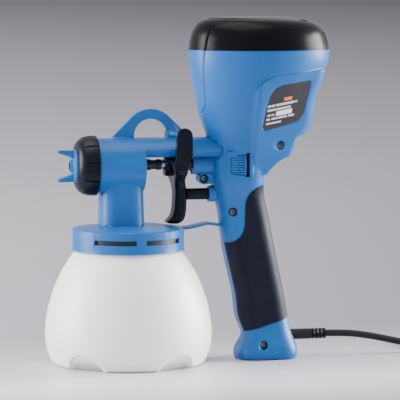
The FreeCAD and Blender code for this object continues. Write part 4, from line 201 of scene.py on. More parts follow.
class Tree:
    """The node tree of one material."""

    def __init__(self, name: str) -> None:
        """Start a material with nothing but its output."""
        self.material = bpy.data.materials.new(name)
        self.material.use_nodes = True
        self.nodes = self.material.node_tree.nodes
        self.links = self.material.node_tree.links
        self.nodes.clear()
        self.output = self.nodes.new("ShaderNodeOutputMaterial")

    def node(self, kind: str, settings: dict | None = None, inputs: dict | None = None,
             output: str | int = 0) -> Signal:
        """Add one node.

        Args:
            kind: The node's type.
            settings: Its own properties; stops gives a ramp's (place, colour) pairs.
            inputs: Values or signals by socket name or number.
            output: Which output to return.

        Returns:
            The chosen output.
        """
        made = self.nodes.new(kind)
        for word, value in (settings or {}).items():
            if word == "stops":
                elements = made.color_ramp.elements
                while len(elements) > 1:
                    elements.remove(elements[-1])
                elements[0].position, elements[0].color = value[0]
                for place, colour in value[1:]:
                    elements.new(place).color = colour
            else:
                setattr(made, word, value)
        for word, value in (inputs or {}).items():
            if isinstance(value, Signal):
                self.links.new(value.socket, made.inputs[word])
            else:
                made.inputs[word].default_value = value
        return Signal(self, made.outputs[output])

    def place(self) -> Signal:
        """Object coordinates, in metres."""
        return self.node("ShaderNodeTexCoord", output="Object")

    def parts(self, vector: Signal) -> tuple[Signal, Signal, Signal]:
        """The three numbers of a vector."""
        outputs = self.node("ShaderNodeSeparateXYZ", inputs={0: vector}).socket.node.outputs
        return tuple(Signal(self, output) for output in outputs)

    def stretched(self, vector: Signal, scale: Point) -> Signal:
        """A vector scaled along each axis."""
        return self.node("ShaderNodeMapping", inputs={"Vector": vector, "Scale": scale})

    def noise(self, vector: Signal, scale: float, detail: float = 2.0,
              roughness: float = 0.5) -> Signal:
        """A noise value about one half."""
        return self.node("ShaderNodeTexNoise", inputs={
            "Vector": vector, "Scale": scale, "Detail": detail, "Roughness": roughness})

    def mixed(self, share: Signal | float, first: Signal | Colour,
              second: Signal | Colour) -> Signal:
        """Blend two colours."""
        return self.node("ShaderNodeMix", {"data_type": "RGBA"},
                         {0: share, 6: first, 7: second}, output=2)

    def scaled(self, colour: Signal | Colour, share: Signal) -> Signal:
        """A colour times a number that varies."""
        grey = self.node("ShaderNodeCombineColor", inputs={part: share for part in range(3)})
        return self.node("ShaderNodeMix", {"data_type": "RGBA", "blend_type": "MULTIPLY"},
                         {0: 1.0, 6: colour, 7: grey}, output=2)

    def bump(self, height: Signal, depth: float, strength: float = 1.0) -> Signal:
        """A normal bent by a height that counts in depths; a depth is in millimetres."""
        return self.node("ShaderNodeBump", inputs={
            "Height": height, "Distance": depth * MM, "Strength": strength})

    def finish(self, shader: Signal) -> bpy.types.Material:
        """Show a shader on the surface and return the material."""
        self.links.new(shader.socket, self.output.inputs["Surface"])
        return self.material


# Finishes


@dataclass(frozen=True)
class Finish:
    """What a surface is made of and how it was finished."""

    name: str
    slot: str
    colour: Colour

    def tone(self, share: float) -> Colour:
        """The finish's colour made lighter or darker."""
        return (*(min(channel * share, 1.0) for channel in self.colour[:3]), 1.0)

    def look(self, tree: Tree, where: Signal) -> dict:
        """What the Principled shader gets; each kind of finish has its own.

        Args:
            tree: The material's tree.
            where: Object coordinates in metres.

        Returns:
            Values and signals by socket name.
        """
        raise NotImplementedError

    def material(self) -> bpy.types.Material:
        """The material, made once."""
        found = bpy.data.materials.get(self.name)
        if found:
            return found
        tree = Tree(self.name)
        look = self.look(tree, tree.place())
        return tree.finish(tree.node("ShaderNodeBsdfPrincipled", inputs=look))


@dataclass(frozen=True)
class Moulded(Finish):
    """Injection-moulded plastic with a fine skin."""

    roughness: float = 0.35
    variation: float = 0.04
    skin: float = 0.03
    grain: float = 1500.0
    specular: float = 0.5

    def look(self, tree: Tree, where: Signal) -> dict:
        """Even colour, a slow drift of tone and gloss, and a fine moulded skin."""
        broad = tree.noise(where, 22.0, 3.0)
        fine = tree.noise(where, self.grain, 2.0)
        cloudy = tree.noise(where, 160.0, 4.0, 0.6)
        base = tree.mixed(broad * 0.7 + cloudy * 0.3, self.tone(1.0 - self.variation),
                          self.tone(1.0 + self.variation))
        gloss = (broad - 0.5) * 0.10 + (cloudy - 0.5) * 0.08 + self.roughness
        return {
            "Base Color": base, "Roughness": gloss.at_least(0.05), "IOR": 1.46,
            "Specular IOR Level": self.specular,
            "Normal": tree.bump(fine + cloudy * 0.6, self.skin)}


@dataclass(frozen=True)
class SoftRubber(Finish):
    """Over-moulded soft rubber with a pebbled skin."""

    roughness: float = 0.55
    pebble: float = 1100.0
    depth: float = 0.10

    def look(self, tree: Tree, where: Signal) -> dict:
        """Small raised pebbles with a dull skin that is rubbed smoother in patches."""
        cells = tree.node("ShaderNodeTexVoronoi", {"feature": "F1"},
                          {"Vector": where, "Scale": self.pebble})
        rubbed = tree.noise(where, 30.0, 3.0).eased(0.35, 0.75)
        base = tree.mixed(rubbed, self.tone(0.86), self.tone(1.2))
        pebbles = 1.0 - cells.eased(0.1, 0.6)
        return {
            "Base Color": base, "Roughness": self.roughness - rubbed * 0.10, "IOR": 1.5,
            "Specular IOR Level": 0.16, "Normal": tree.bump(pebbles, self.depth, 0.6)}


@dataclass(frozen=True)
class Metal(Finish):
    """Turned, drawn or stamped metal with fine tool lines along one axis."""

    roughness: float = 0.28
    axis: Axis = Axis.X
    lines: float = 2600.0

    def look(self, tree: Tree, where: Signal) -> dict:
        """Bright metal with tool lines, and a few duller patches."""
        scale = tuple(self.lines if part else 40.0 for part in self.axis.value)
        lines = tree.noise(tree.stretched(where, scale), 1.0, 2.0)
        stain = tree.noise(where, 60.0, 4.0).eased(0.45, 0.8)
        base = tree.mixed(stain * 0.5, self.colour, self.tone(0.72))
        return {
            "Base Color": base, "Metallic": 1.0,
            "Roughness": self.roughness + (lines - 0.5) * 0.2 + stain * 0.12,
            "Normal": tree.bump(lines, 0.02, 0.7)}


@dataclass(frozen=True)
class Laminated(Finish):
    """A stack of stamped sheets."""

    sheet: float = 0.5

    def look(self, tree: Tree, where: Signal) -> dict:
        """Sheet edges along Z with a little rust and varnish between them."""
        edges = tree.parts(where)[2].ripple(self.sheet)
        varnish = tree.noise(where, 90.0, 4.0).eased(0.4, 0.8)
        dark = tree.mixed(varnish, self.colour, srgb(92, 70, 52))
        base = tree.mixed(edges * 0.6, self.tone(0.45), dark)
        return {
            "Base Color": base, "Metallic": 0.85, "Roughness": varnish * 0.15 + 0.42,
            "Normal": tree.bump(edges, 0.12)}


@dataclass(frozen=True)
class Wound(Finish):
    """Lacquered copper wire, turn beside turn."""

    wire: float = 0.45
    motor_x: float = 116.0

    def look(self, tree: Tree, where: Signal) -> dict:
        """Turns of wire round the motor's axis in layers, with painted shade between turns."""
        x, y, z = tree.parts(where)
        x = x - self.motor_x * MM
        radius = (x * x + y * y) ** 0.5
        wobble = tree.noise(where, 240.0, 2.0) * (0.8 * MM)
        turns = (radius + z + wobble).ripple(self.wire)
        tone = tree.noise(where, 120.0, 3.0)
        bright = tree.mixed(tone, self.tone(0.75), self.tone(1.25))
        # Painted shade: the gaps between turns are painted dark.
        base = tree.mixed(turns, self.tone(0.3), bright)
        return {
            "Base Color": base, "Metallic": 0.8, "Roughness": 0.5 - turns * 0.2,
            "Coat Weight": 0.4, "Normal": tree.bump(turns, 0.2)}


@dataclass(frozen=True)
class OpenFoam(Finish):
    """Reticulated foam."""

    pore: float = 520.0

    def look(self, tree: Tree, where: Signal) -> dict:
        """Pores painted dark as painted shade between thin strands."""
        cells = tree.node("ShaderNodeTexVoronoi", {"feature": "DISTANCE_TO_EDGE"},
                          {"Vector": where, "Scale": self.pore})
        strands = 1.0 - cells.eased(0.02, 0.16)
        # Painted shade: the pores between strands are painted dark.
        base = tree.mixed(strands, self.tone(0.25), self.colour)
        return {
            "Base Color": base, "Roughness": 0.9, "Normal": tree.bump(strands, 0.8)}


@dataclass(frozen=True)
class MilkyPlastic(Finish):
    """Blow-moulded translucent plastic of the paint cup."""

    roughness: float = 0.36
    cup_height: float = 98.0

    def look(self, tree: Tree, where: Signal) -> dict:
        """White plastic that is a little darker towards the bottom, with faint flow lines."""
        height = tree.parts(where)[2] / (self.cup_height * MM)
        flow = tree.noise(tree.stretched(where, (30.0, 30.0, 160.0)), 1.0, 4.0, 0.6)
        cloud = tree.noise(where, 26.0, 3.0)
        # A little darker towards the bottom, by height.
        tone = tree.mixed((height + (cloud - 0.5) * 0.3).eased(-0.1, 1.0),
                          self.tone(0.965), self.colour)
        base = tree.mixed(flow.eased(0.45, 0.8) * 0.25, tone, self.tone(0.94))
        return {
            "Base Color": base, "Roughness": self.roughness + (cloud - 0.5) * 0.08, "IOR": 1.5,
            "Subsurface Weight": 0.25, "Subsurface Radius": (1.0, 0.96, 0.9),
            "Subsurface Scale": 4.0 * MM,
            "Normal": tree.bump(flow + cloud, 0.12, 0.5)}


@dataclass(frozen=True)
class RatingPlate(Finish):
    """Dark film plate with plain light rules, an orange bar and a blank field.

    Millimetres from the plate's lower front corner. A row has its height, half its thickness
    and its end; a field has its lowest and highest point, its start and its end.
    """

    left: float = 115.5
    foot: float = 207.0
    slope: float = 0.17
    soft: float = 0.12
    row_pitch: float = 3.9
    rows: tuple[Point, ...] = (
        (17.6, 1.0, 28.0), (14.0, 0.9, 22.0), (9.5, 0.8, 7.0), (6.0, 0.9, 26.0), (2.2, 0.8, 14.0))
    blank: Four = (8.0, 12.0, 8.6, 23.5)
    bar: Four = (20.2, 23.0, 15.0, 22.5)

    def look(self, tree: Tree, where: Signal) -> dict:
        """Bars without any wording, in rows that rise to the rear."""
        x, _, z = tree.parts(where)
        along = x / MM - self.left
        up = z / MM - self.foot - along * self.slope

        def patch(low: float, high: float, start: float, end: float) -> Signal:
            """One inside a field of the plate, nought outside."""
            return up.within(low, high, self.soft) * along.within(start, end, self.soft)

        row_number = (up / self.row_pitch).whole()
        line = tree.node("ShaderNodeCombineXYZ", inputs={0: along * 0.42, 1: row_number * 7.3})
        dashes = tree.noise(line, 1.0, 1.0).eased(0.36, 0.42)
        light: Signal | float = 0.0
        for height, half, end in self.rows:
            light = patch(height - half, height + half, 0.0, end).at_least(light)
        blank, bar = patch(*self.blank), patch(*self.bar)
        cloud = tree.noise(where, 70.0, 3.0)
        film = tree.mixed(cloud, self.tone(0.86), self.tone(1.14))
        marked = tree.mixed(light * dashes * 0.85, film, srgb(205, 204, 206))
        marked = tree.mixed(blank, marked, srgb(232, 232, 230))
        marked = tree.mixed(bar, marked, srgb(226, 122, 60))
        ink = (light * dashes).at_least(blank).at_least(bar)
        return {
            "Base Color": marked, "Roughness": 0.42 + (cloud - 0.5) * 0.1,
            "Specular IOR Level": 0.2, "Normal": tree.bump(ink + cloud * 0.3, 0.03)}


@dataclass(frozen=True)
class CordJacket(Finish):
    """Black flexible jacket of the mains cord."""

    def look(self, tree: Tree, where: Signal) -> dict:
        """A satin skin with faint extrusion marks and a little dust."""
        dust = tree.noise(where, 110.0, 4.0, 0.65).eased(0.5, 0.85)
        fine = tree.noise(where, 2100.0, 2.0)
        base = tree.mixed(dust * 0.5, self.colour, self.tone(2.2))
        return {
            "Base Color": base, "Roughness": dust * 0.2 + 0.42, "Specular IOR Level": 0.3,
            "Normal": tree.bump(fine, 0.03)}


BLUE = Moulded("blue_moulding", "blue_shell", srgb(28, 92, 157), roughness=0.34, variation=0.035,
               specular=0.26)
BLACK = Moulded("black_moulding", "black_shell", srgb(12, 12, 15), roughness=0.26, skin=0.05,
                specular=0.08)
INK = Moulded("ink_black_moulding", "trigger_black", srgb(9, 11, 24), roughness=0.34, skin=0.05,
              specular=0.18)
RUBBER = SoftRubber("soft_grip_rubber", "soft_grip", srgb(11, 16, 33))
PLATE = RatingPlate("rating_plate_film", "label", srgb(50, 49, 52))
MILK = MilkyPlastic("milky_cup_plastic", "cup_white", srgb(254, 252, 247))
STEEL = Metal("turned_steel", "steel", srgb(186, 187, 190))
UPRIGHT_STEEL = Metal("ground_shaft_steel", "steel", srgb(196, 197, 200), axis=Axis.Z)
SCREW_STEEL = Metal("plated_screw_steel", "steel", srgb(104, 105, 110), roughness=0.3, axis=Axis.Y)
BRASS = Metal("pressed_brass", "brass", srgb(206, 172, 98), axis=Axis.Y)
COPPER_BARS = Metal("commutator_copper", "copper", srgb(196, 122, 82), axis=Axis.Z)
WINDING = Wound("lacquered_winding", "copper", srgb(190, 104, 58))
IRON = Laminated("laminated_iron", "iron", srgb(122, 122, 126))
IVORY = Moulded("ivory_moulding", "natural_plastic", srgb(214, 212, 200), roughness=0.45)
SMOKE = Moulded("dark_part_moulding", "natural_plastic", srgb(16, 18, 28), roughness=0.38)
DARK = Moulded("dark_moulding", "dark_plastic", srgb(26, 27, 32), roughness=0.45)
FOAM = OpenFoam("filter_foam", "foam", srgb(70, 70, 72))
SEAL = SoftRubber("seal_rubber", "seal", srgb(30, 30, 32), roughness=0.6, pebble=2400.0, depth=0.03)
JACKET = CordJacket("cord_jacket", "cord_black", srgb(8, 8, 10))


# The bench: modelling one piece at a time


def link(name: str, data: bpy.types.ID) -> bpy.types.Object:
    """Put a mesh, curve, lamp or camera into the scene."""
    obj = bpy.data.objects.new(name, data)
    bpy.context.scene.collection.objects.link(obj)
    return obj


def aimed(name: str, data: bpy.types.ID, at: Vector, target: Vector) -> bpy.types.Object:
    """Put a camera or a lamp into the scene so that it looks at a target."""
    obj = link(name, data)
    obj.location = at
    obj.rotation_euler = (target - at).to_track_quat("-Z", "Y").to_euler()
    return obj


def clear_selection() -> None:
    """Leave nothing selected, because an operator acts on all that is."""
    if bpy.context.object and bpy.context.object.mode != "OBJECT":
        bpy.ops.object.mode_set(mode="OBJECT")
    bpy.ops.object.select_all(action="DESELECT")


class Workpiece:
    """One mesh on the bench."""

    def __init__(self, obj: bpy.types.Object) -> None:
        """Take an object onto the bench."""
        self.obj = obj

    @classmethod
    def added(cls, name: str, operator: Callable, scale: Vector | None = None,
              **settings: object) -> Workpiece:
        """Add a primitive and put its place and scale into its mesh.

        Args:
            name: The piece's name.
            operator: Blender's operator that adds the primitive.
            scale: Its size along each axis, if it gets one.
            settings: What the operator is told.

        Returns:
            The new workpiece.
        """
        clear_selection()
        operator(**settings)
        piece = cls(bpy.context.object)
        piece.obj.name = name
        if scale is not None:
            piece.obj.scale = scale
        piece.activate()
        bpy.ops.object.transform_apply(location=True, rotation=True, scale=True)
        return piece

    @classmethod
    def from_node(cls, node: str, name: str) -> Workpiece:
        """A copy of a CAD node's surface with its triangles joined."""
        clear_selection()
        piece = cls(link(name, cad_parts[node].data.copy()))
        with piece.editing():
            bpy.ops.mesh.remove_doubles(threshold=MERGE)
        return piece

    def activate(self) -> None:
        """Select this piece alone."""
        clear_selection()
        self.obj.select_set(True)
        bpy.context.view_layer.objects.active = self.obj

    def select(self, kind: Pick, test: Test) -> None:
        """Select faces or edges in object mode, where nothing is selected yet.

        Args:
            kind: Which of the two.
            test: Takes a centre and a normal or direction, and says whether to select.
        """
        mesh = self.obj.data
        if kind is Pick.FACES:
            for face in mesh.polygons:
                face.select = test(face.center, face.normal)
            return
        for edge in mesh.edges:
            first, second = (mesh.vertices[i].co for i in edge.vertices)
            edge.select = test((first + second) / 2, (second - first).normalized())

    @contextmanager
    def editing(self, kind: Pick = Pick.VERTS, test: Test | None = None) -> Iterator[None]:
        """Stay in edit mode for the length of a with block.

        Args:
            kind: The select mode.
            test: Says which elements to select, as in select; without it all are.
        """
        self.activate()
        bpy.ops.object.mode_set(mode="EDIT")
        bpy.ops.mesh.select_mode(type=kind.value)
        bpy.ops.mesh.select_all(action="DESELECT" if test else "SELECT")
        if test:
            bpy.ops.object.mode_set(mode="OBJECT")
            self.select(kind, test)
            bpy.ops.object.mode_set(mode="EDIT")
        yield
        bpy.ops.object.mode_set(mode="OBJECT")

    def modifier(self, kind: str, **settings: object) -> None:
        """Add a modifier with its settings and apply it."""
        self.activate()
        made = self.obj.modifiers.new(kind.title(), kind)
        for word, value in settings.items():
            setattr(made, word, value)
        bpy.ops.object.modifier_apply(modifier=made.name)

    def carve(self, tool: Workpiece) -> None:
        """Cut another closed piece out of this one, and use it up."""
        self.modifier("BOOLEAN", operation="DIFFERENCE", solver="EXACT", object=tool.obj)
        tool.discard()

    def discard(self) -> None:
        """Throw the piece away."""
        mesh = self.obj.data
        bpy.data.objects.remove(self.obj)
        bpy.data.meshes.remove(mesh)

    def join(self, others: Sequence[Workpiece], name: str) -> None:
        """Make other pieces part of this one, under a new name."""
        self.activate()
        for other in others:
            other.obj.select_set(True)
        bpy.ops.object.join()
        self.obj.name = name

    def smooth(self, angle: float) -> None:
        """Shade smooth but for edges sharper than an angle, with the larger faces leading."""
        self.activate()
        bpy.ops.object.shade_smooth_by_angle(angle=math.radians(angle))
        self.modifier("WEIGHTED_NORMAL", keep_sharp=True, weight=80)

    def copy(self, name: str, move: Matrix) -> Workpiece:
        """A copy with its own mesh, placed by a matrix."""
        mesh = self.obj.data.copy()
        mesh.transform(move)
        return Workpiece(link(name, mesh))

    def fit(self, finish: Finish, body: Body, node: str) -> None:
        """Dress the piece, tie it to its body and let it stand for a CAD node."""
        self.obj.data.materials.clear()
        self.obj.data.materials.append(finish.material())
        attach(self.obj, body.value)
        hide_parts(node)
        LOG.info("%s: %d faces", self.obj.name, len(self.obj.data.polygons))


def lathe(name: str, profile: Sequence[Pair], axis: Axis, centre: Vector, steps: int) -> Workpiece:
    """Turn a closed half section round an axis.

    Args:
        name: The piece's name.
        profile: (along, radius) pairs in millimetres; the last joins the first unless both
            ends lie on the axis.
        axis: The axis of the turned piece.
        centre: The axis's point from which the profile is measured.
        steps: How many faces go round.

    Returns:
        A closed turned piece with its faces outwards.
    """
    points = [centre + axis.value * (along * MM) + axis.across() * (radius * MM)
              for along, radius in profile]
    if profile[0][1] > 0.0 or profile[-1][1] > 0.0:
        points.append(points[0])
    piece = Workpiece.added(name, bpy.ops.mesh.primitive_plane_add, size=MM, location=points[0])
    with piece.editing():
        bpy.ops.mesh.merge(type="CENTER")
        for here, there in zip(points, points[1:]):
            bpy.ops.mesh.extrude_region_move(TRANSFORM_OT_translate={"value": there - here})
        bpy.ops.mesh.select_all(action="SELECT")
        bpy.ops.mesh.remove_doubles(threshold=MERGE / 2.0)
        bpy.ops.mesh.select_all(action="SELECT")
        bpy.ops.mesh.spin(steps=steps, angle=TURN, center=centre, axis=axis.value,
                          use_auto_merge=True)
    with piece.editing():
        bpy.ops.mesh.remove_doubles(threshold=MERGE)
        bpy.ops.mesh.normals_make_consistent(inside=False)
    return piece


def bent(start: Pair, end: Pair, radius: float, count: int) -> list[Pair]:
    """Points of an arc of a half section that swells away from the axis.

    Args:
        start: First point as (along, radius).
        end: Last point; it lies further along.
        radius: The arc's radius.
        count: How many points.

    Returns:
        The points in order.
    """
    first, last = Vector(start), Vector(end)
    chord = last - first
    away = Vector((-chord.y, chord.x)).normalized()
    depth = math.sqrt(radius ** 2 - (chord.length / 2.0) ** 2)
    centre = (first + last) / 2.0 - away * depth
    half = math.asin(chord.length / 2.0 / radius)
    angles = (half * (2.0 * index / (count - 1) - 1.0) for index in range(count))
    return [tuple(centre + away * (radius * math.cos(angle))
                  + chord.normalized() * (radius * math.sin(angle))) for angle in angles]


@dataclass(frozen=True)
class Skin:
    """A smooth merged copy that stands in a CAD node's place.

    Edges sharper than the angle, in degrees, stay sharp. A bevel is in millimetres.
    """

    node: str
    name: str
    finish: Finish
    body: Body = Body.SPRAYER
    angle: float = 30.0
    bevel: float = 0.0

    def build(self) -> Workpiece:
        """Copy the node's surface, smooth it and dress it."""
        piece = Workpiece.from_node(self.node, self.name)
        if self.bevel:
            with piece.editing(Pick.FACES):
                bpy.ops.mesh.dissolve_limited(angle_limit=math.radians(0.6))
            piece.modifier("BEVEL", width=self.bevel * MM, segments=2, limit_method="ANGLE",
                           angle_limit=math.radians(40.0), miter_outer="MITER_ARC",
                           use_clamp_overlap=True)
        piece.smooth(self.angle)
        piece.fit(self.finish, self.body, self.node)
        return piece


class SubAssembly:
    """Pieces that belong together on the tool.

    A group lists its skins, and the finishes of bare nodes, which keep their own shape.
    """

    skins: ClassVar[tuple[Skin | FrontRing, ...]] = ()
    bare: ClassVar[dict[str, Finish]] = {}

    def build(self) -> None:
        """Build the skins and dress the bare nodes."""
        for skin in self.skins:
            skin.build()
        for node, finish in self.bare.items():
            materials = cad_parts[node].data.materials
            materials.clear()
            materials.append(finish.material())
            LOG.info("%s dressed in %s", node, finish.name)


# Studio


@dataclass(frozen=True)
class SoftBox:
    """A rectangular lamp, in metres and watts."""

    name: str
    at: Point
    width: float
    height: float
    power: float


@dataclass(frozen=True)
class Floor:
    """One wide floor: a lit table round the tool that runs out into a glowing grey backdrop.

    The table's colour holds painted light, lighter in front and darker behind and to the right,
    and the backdrop's glow holds painted light falloff, darker further out and to the right.

    Lengths are in metres. A pair gives a blend's start and end, or a value's limits.
    """

    middle: Pair = (0.06, 0.0)
    drop: float = 0.0002
    disc_radius: float = 0.8
    disc_rim: float = 0.05
    disc_sides: int = 96
    radius: float = 60.0
    nearest: float = 0.01
    decades: float = 2.6
    # Painted light falloff: the backdrop's glowing tones darken with distance from the tool.
    tones: tuple[tuple[float, tuple[int, int, int]], ...] = (
        (0.04, (226, 224, 235)), (0.25, (225, 223, 234)), (0.37, (223, 221, 231)),
        (0.46, (216, 214, 224)), (0.54, (203, 201, 210)), (0.64, (181, 179, 188)),
        (0.74, (157, 155, 164)), (0.81, (138, 136, 145)), (0.90, (118, 117, 124)))
    front_tone: Colour = srgb(240, 239, 245)
    table_colour: Colour = srgb(217, 215, 224)
    behind: Pair = (0.0, 0.20)
    beyond: Pair = (0.32, 0.75)
    before: Pair = (0.09, 0.30)
    view_side: Pair = (0.974, 0.225)
    view_distance: float = 2.4
    # Painted light on the table: its colour lighter in front, darker behind and to the right.
    table_tone: float = 0.77
    table_depth: float = 2.1
    table_side: float = 1.4
    table_limits: Pair = (0.5, 1.2)
    # Painted light falloff: the backdrop's glow grows darker to the right.
    side_slope: float = 2.6
    side_ease: float = 1.1
    side_eased: Pair = (0.34, 0.62)
    side_limits: Pair = (0.8, 1.22)

    def material(self) -> bpy.types.Material:
        """The table's plastic with painted light in its colour, which glows in the backdrop's
        tones where it isn't to be lit.
        """
        tree = Tree("studio_floor")
        x, y, _ = tree.parts(tree.place())
        along = x - self.middle[0]
        radius = (along * along + y * y) ** 0.5
        # The backdrop's glow is painted light falloff, darker further from the tool.
        reach = (radius.at_least(self.nearest).log(10.0) + 1.0) / self.decades
        stops = [(place, srgb(*levels)) for place, levels in self.tones]
        tones = tree.node("ShaderNodeValToRGB", {"stops": stops}, {0: reach})
        path = tree.node("ShaderNodeLightPath", output="Is Camera Ray")
        outputs = path.socket.node.outputs
        seen = path.at_least(Signal(tree, outputs["Is Glossy Ray"])).at_least(
            Signal(tree, outputs["Is Transmission Ray"]))
        behind = y.eased(*self.behind).at_least(radius.eased(*self.beyond))
        before = (0.0 - y).eased(*self.before)
        across, deep = self.view_side
        sideways = (along * across - y * deep) / (y + self.view_distance)
        # Painted light on the table: lighter in front, darker behind and to the right.
        depth = self.table_tone - y * self.table_depth
        painted_table_light = (depth * (1.0 - sideways * self.table_side)).clamped(*self.table_limits)
        table = tree.node("ShaderNodeBsdfPrincipled", inputs={
            "Base Color": tree.scaled(self.table_colour, painted_table_light), "Roughness": 0.34,
            "Specular IOR Level": 0.25})
        # Painted light falloff: the backdrop's glow grows darker to the right.
        slope = self.side_slope - reach.eased(*self.side_eased) * self.side_ease
        painted_side_falloff = (1.0 - sideways * slope).clamped(*self.side_limits)
        tones = tree.mixed(before, tree.scaled(tones, painted_side_falloff), self.front_tone)
        glow = tree.node("ShaderNodeEmission", inputs={"Color": tones, "Strength": 1.0})
        share = behind.at_least(before) * seen
        return tree.finish(tree.node("ShaderNodeMixShader", inputs={0: share, 1: table, 2: glow}))

    def build(self) -> None:
        """A disc whose outer rim is drawn out to the horizon."""
        middle = Vector((*self.middle, -self.drop))
        rim = self.disc_radius - self.disc_rim / 4.0
        piece = Workpiece.added("studio_floor", bpy.ops.mesh.primitive_circle_add, location=middle,
                                vertices=self.disc_sides, radius=self.disc_radius)
        with piece.editing(Pick.EDGES):
            bpy.ops.mesh.edge_face_add()
            bpy.ops.mesh.select_all(action="SELECT")
            bpy.ops.mesh.inset(thickness=self.disc_rim)
        with piece.editing(Pick.EDGES, lambda at, way: (at - middle).xy.length > rim):
            bpy.ops.mesh.extrude_region_move()
            grow = self.radius / self.disc_radius
            bpy.ops.transform.resize(value=(grow, grow, 1.0), center_override=(*self.middle, 0.0))
        piece.obj.data.materials.append(self.material())


@dataclass(frozen=True)
class Studio:
    """Camera, lamps, world and floor; the camera's places are in millimetres."""

    camera_at: Point = (-467.9, -2306.3, 348.3)
    look_at: Point = (64.52, 0.0, 141.26)
    lens: float = 243.0
    sensor: float = 36.0
    sight: float = 200.0
    lamp_aim: Point = (0.06, 0.0, 0.14)
    lamps: tuple[SoftBox, ...] = (
        SoftBox("left_box", (-1.52, 0.30, 0.38), 1.0, 1.1, 70.0),
        SoftBox("right_box", (1.65, 0.10, 0.38), 1.0, 1.1, 124.0),
        SoftBox("top_box", (-0.20, -0.10, 1.80), 1.4, 1.2, 24.0))
    room_colour: Colour = (0.95, 0.97, 1.0, 1.0)
    room_strength: float = 0.90
    seen_colour: Colour = srgb(112, 111, 117)
    floor: Floor = Floor()

    def build_camera(self) -> None:
        """Stand the camera where the photograph was taken."""
        data = bpy.data.cameras.new("photo_camera")
        data.lens = self.lens
        data.sensor_width = self.sensor
        data.clip_end = self.sight
        bpy.context.scene.camera = aimed("photo_camera", data, Vector(self.camera_at) * MM,
                                         Vector(self.look_at) * MM)

    def build_lamps(self) -> None:
        """Two tall soft boxes at the sides and a weak one overhead."""
        for box in self.lamps:
            data = bpy.data.lights.new(box.name, "AREA")
            data.shape = "RECTANGLE"
            data.size = box.width
            data.size_y = box.height
            data.energy = box.power
            aimed(box.name, data, Vector(box.at), Vector(self.lamp_aim))

    def build_world(self) -> None:
        """An even grey room, with a darker top that only the camera sees."""
        world = bpy.data.worlds.new("grey_room")
        world.use_nodes = True
        bpy.context.scene.world = world
        tree = world.node_tree
        tree.nodes.clear()
        output = tree.nodes.new("ShaderNodeOutputWorld")
        mix = tree.nodes.new("ShaderNodeMixShader")
        path = tree.nodes.new("ShaderNodeLightPath")
        tree.links.new(path.outputs["Is Camera Ray"], mix.inputs[0])
        for place, colour, strength in ((1, self.room_colour, self.room_strength),
                                        (2, self.seen_colour, 1.0)):
            light = tree.nodes.new("ShaderNodeBackground")
            light.inputs["Color"].default_value = colour
            light.inputs["Strength"].default_value = strength
            tree.links.new(light.outputs[0], mix.inputs[place])
        tree.links.new(mix.outputs[0], output.inputs["Surface"])

    def build(self) -> None:
        """Set up the world, the lamps and the floor."""
        self.build_world()
        self.build_lamps()
        self.floor.build()


# Free cord


@dataclass(frozen=True)
class FreeCord:
    """The mains cord from the strain relief to the plug, with its put-away coil.

    The coil starts on its -Y side, winds inwards on the floor, climbs one pitch in the middle
    and winds outwards in a second layer. All sizes are in millimetres.
    """

    diameter: float = 6.2
    length: float = 1826.0
    exit_at: Point = (179.0, 0.0, 19.8)
    coil_middle: Pair = (323.0, 48.4)
    coil_outer: float = 48.4
    pitch: float = 6.7
    turns: float = 7.0
    ground: float = 3.15
    climb_turns: float = 0.5
    points_per_turn: int = 16
    lead: tuple[Point, ...] = (
        (197.0, 0.0, 19.8), (221.0, 0.2, 16.4), (246.0, 0.4, 10.6), (272.0, 0.3, 5.0),
        (297.0, 0.2, 3.15))
    tail: tuple[Point, ...] = ((348.2, 0.4, 9.85), (370.2, -4.9, 9.75), (391.2, -8.9, 9.75))

    def coil_point(self, turns: float) -> Point:
        """The coil's point that lies a number of turns from its start."""
        half = self.turns / 2.0
        radius = self.coil_outer - self.pitch * min(turns, self.turns - turns)
        climb = (turns - (half - self.climb_turns / 2.0)) / self.climb_turns
        angle = TURN * (turns - 0.25)
        spread = radius / math.cos(math.pi / self.points_per_turn) ** 0.5
        return (self.coil_middle[0] + spread * math.cos(angle),
                self.coil_middle[1] + spread * math.sin(angle),
                self.ground + self.pitch * min(max(climb, 0.0), 1.0))

    def route(self) -> list[Point]:
        """Control points from the relief, down to the floor, round the coil and to the plug."""
        steps = int(self.turns * self.points_per_turn)
        coil = [self.coil_point(step / self.points_per_turn) for step in range(steps + 1)]
        return [self.exit_at, *self.lead, *coil, *self.tail]

    def build(self) -> None:
        """Draw the cord as one smooth curve and dress its plug."""
        curve = bpy.data.curves.new("mains_cord", "CURVE")
        curve.dimensions = "3D"
        curve.bevel_depth = self.diameter * MM / 2.0
        curve.bevel_resolution = 5
        curve.resolution_u = 6
        curve.use_fill_caps = True
        spline = curve.splines.new("NURBS")
        points = self.route()
        spline.points.add(len(points) - 1)
        for control, point in zip(spline.points, points):
            control.co = (*(part * MM for part in point), 1.0)
        spline.order_u = 3
        spline.use_endpoint_u = True
        cord = link("mains_cord", curve)
        curve.materials.append(JACKET.material())
        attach(cord, Body.SPRAYER.value)
        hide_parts("cord_run", "cord_coil", "cord_tail")
        plug = Skin("plug_body", "mains_plug", JACKET, bevel=0.6).build()
        blades = Skin("plug_blades", "mains_plug_blades", BRASS, bevel=0.3).build()
        LOG.info("mains cord: %d control points", len(points))


# Housing


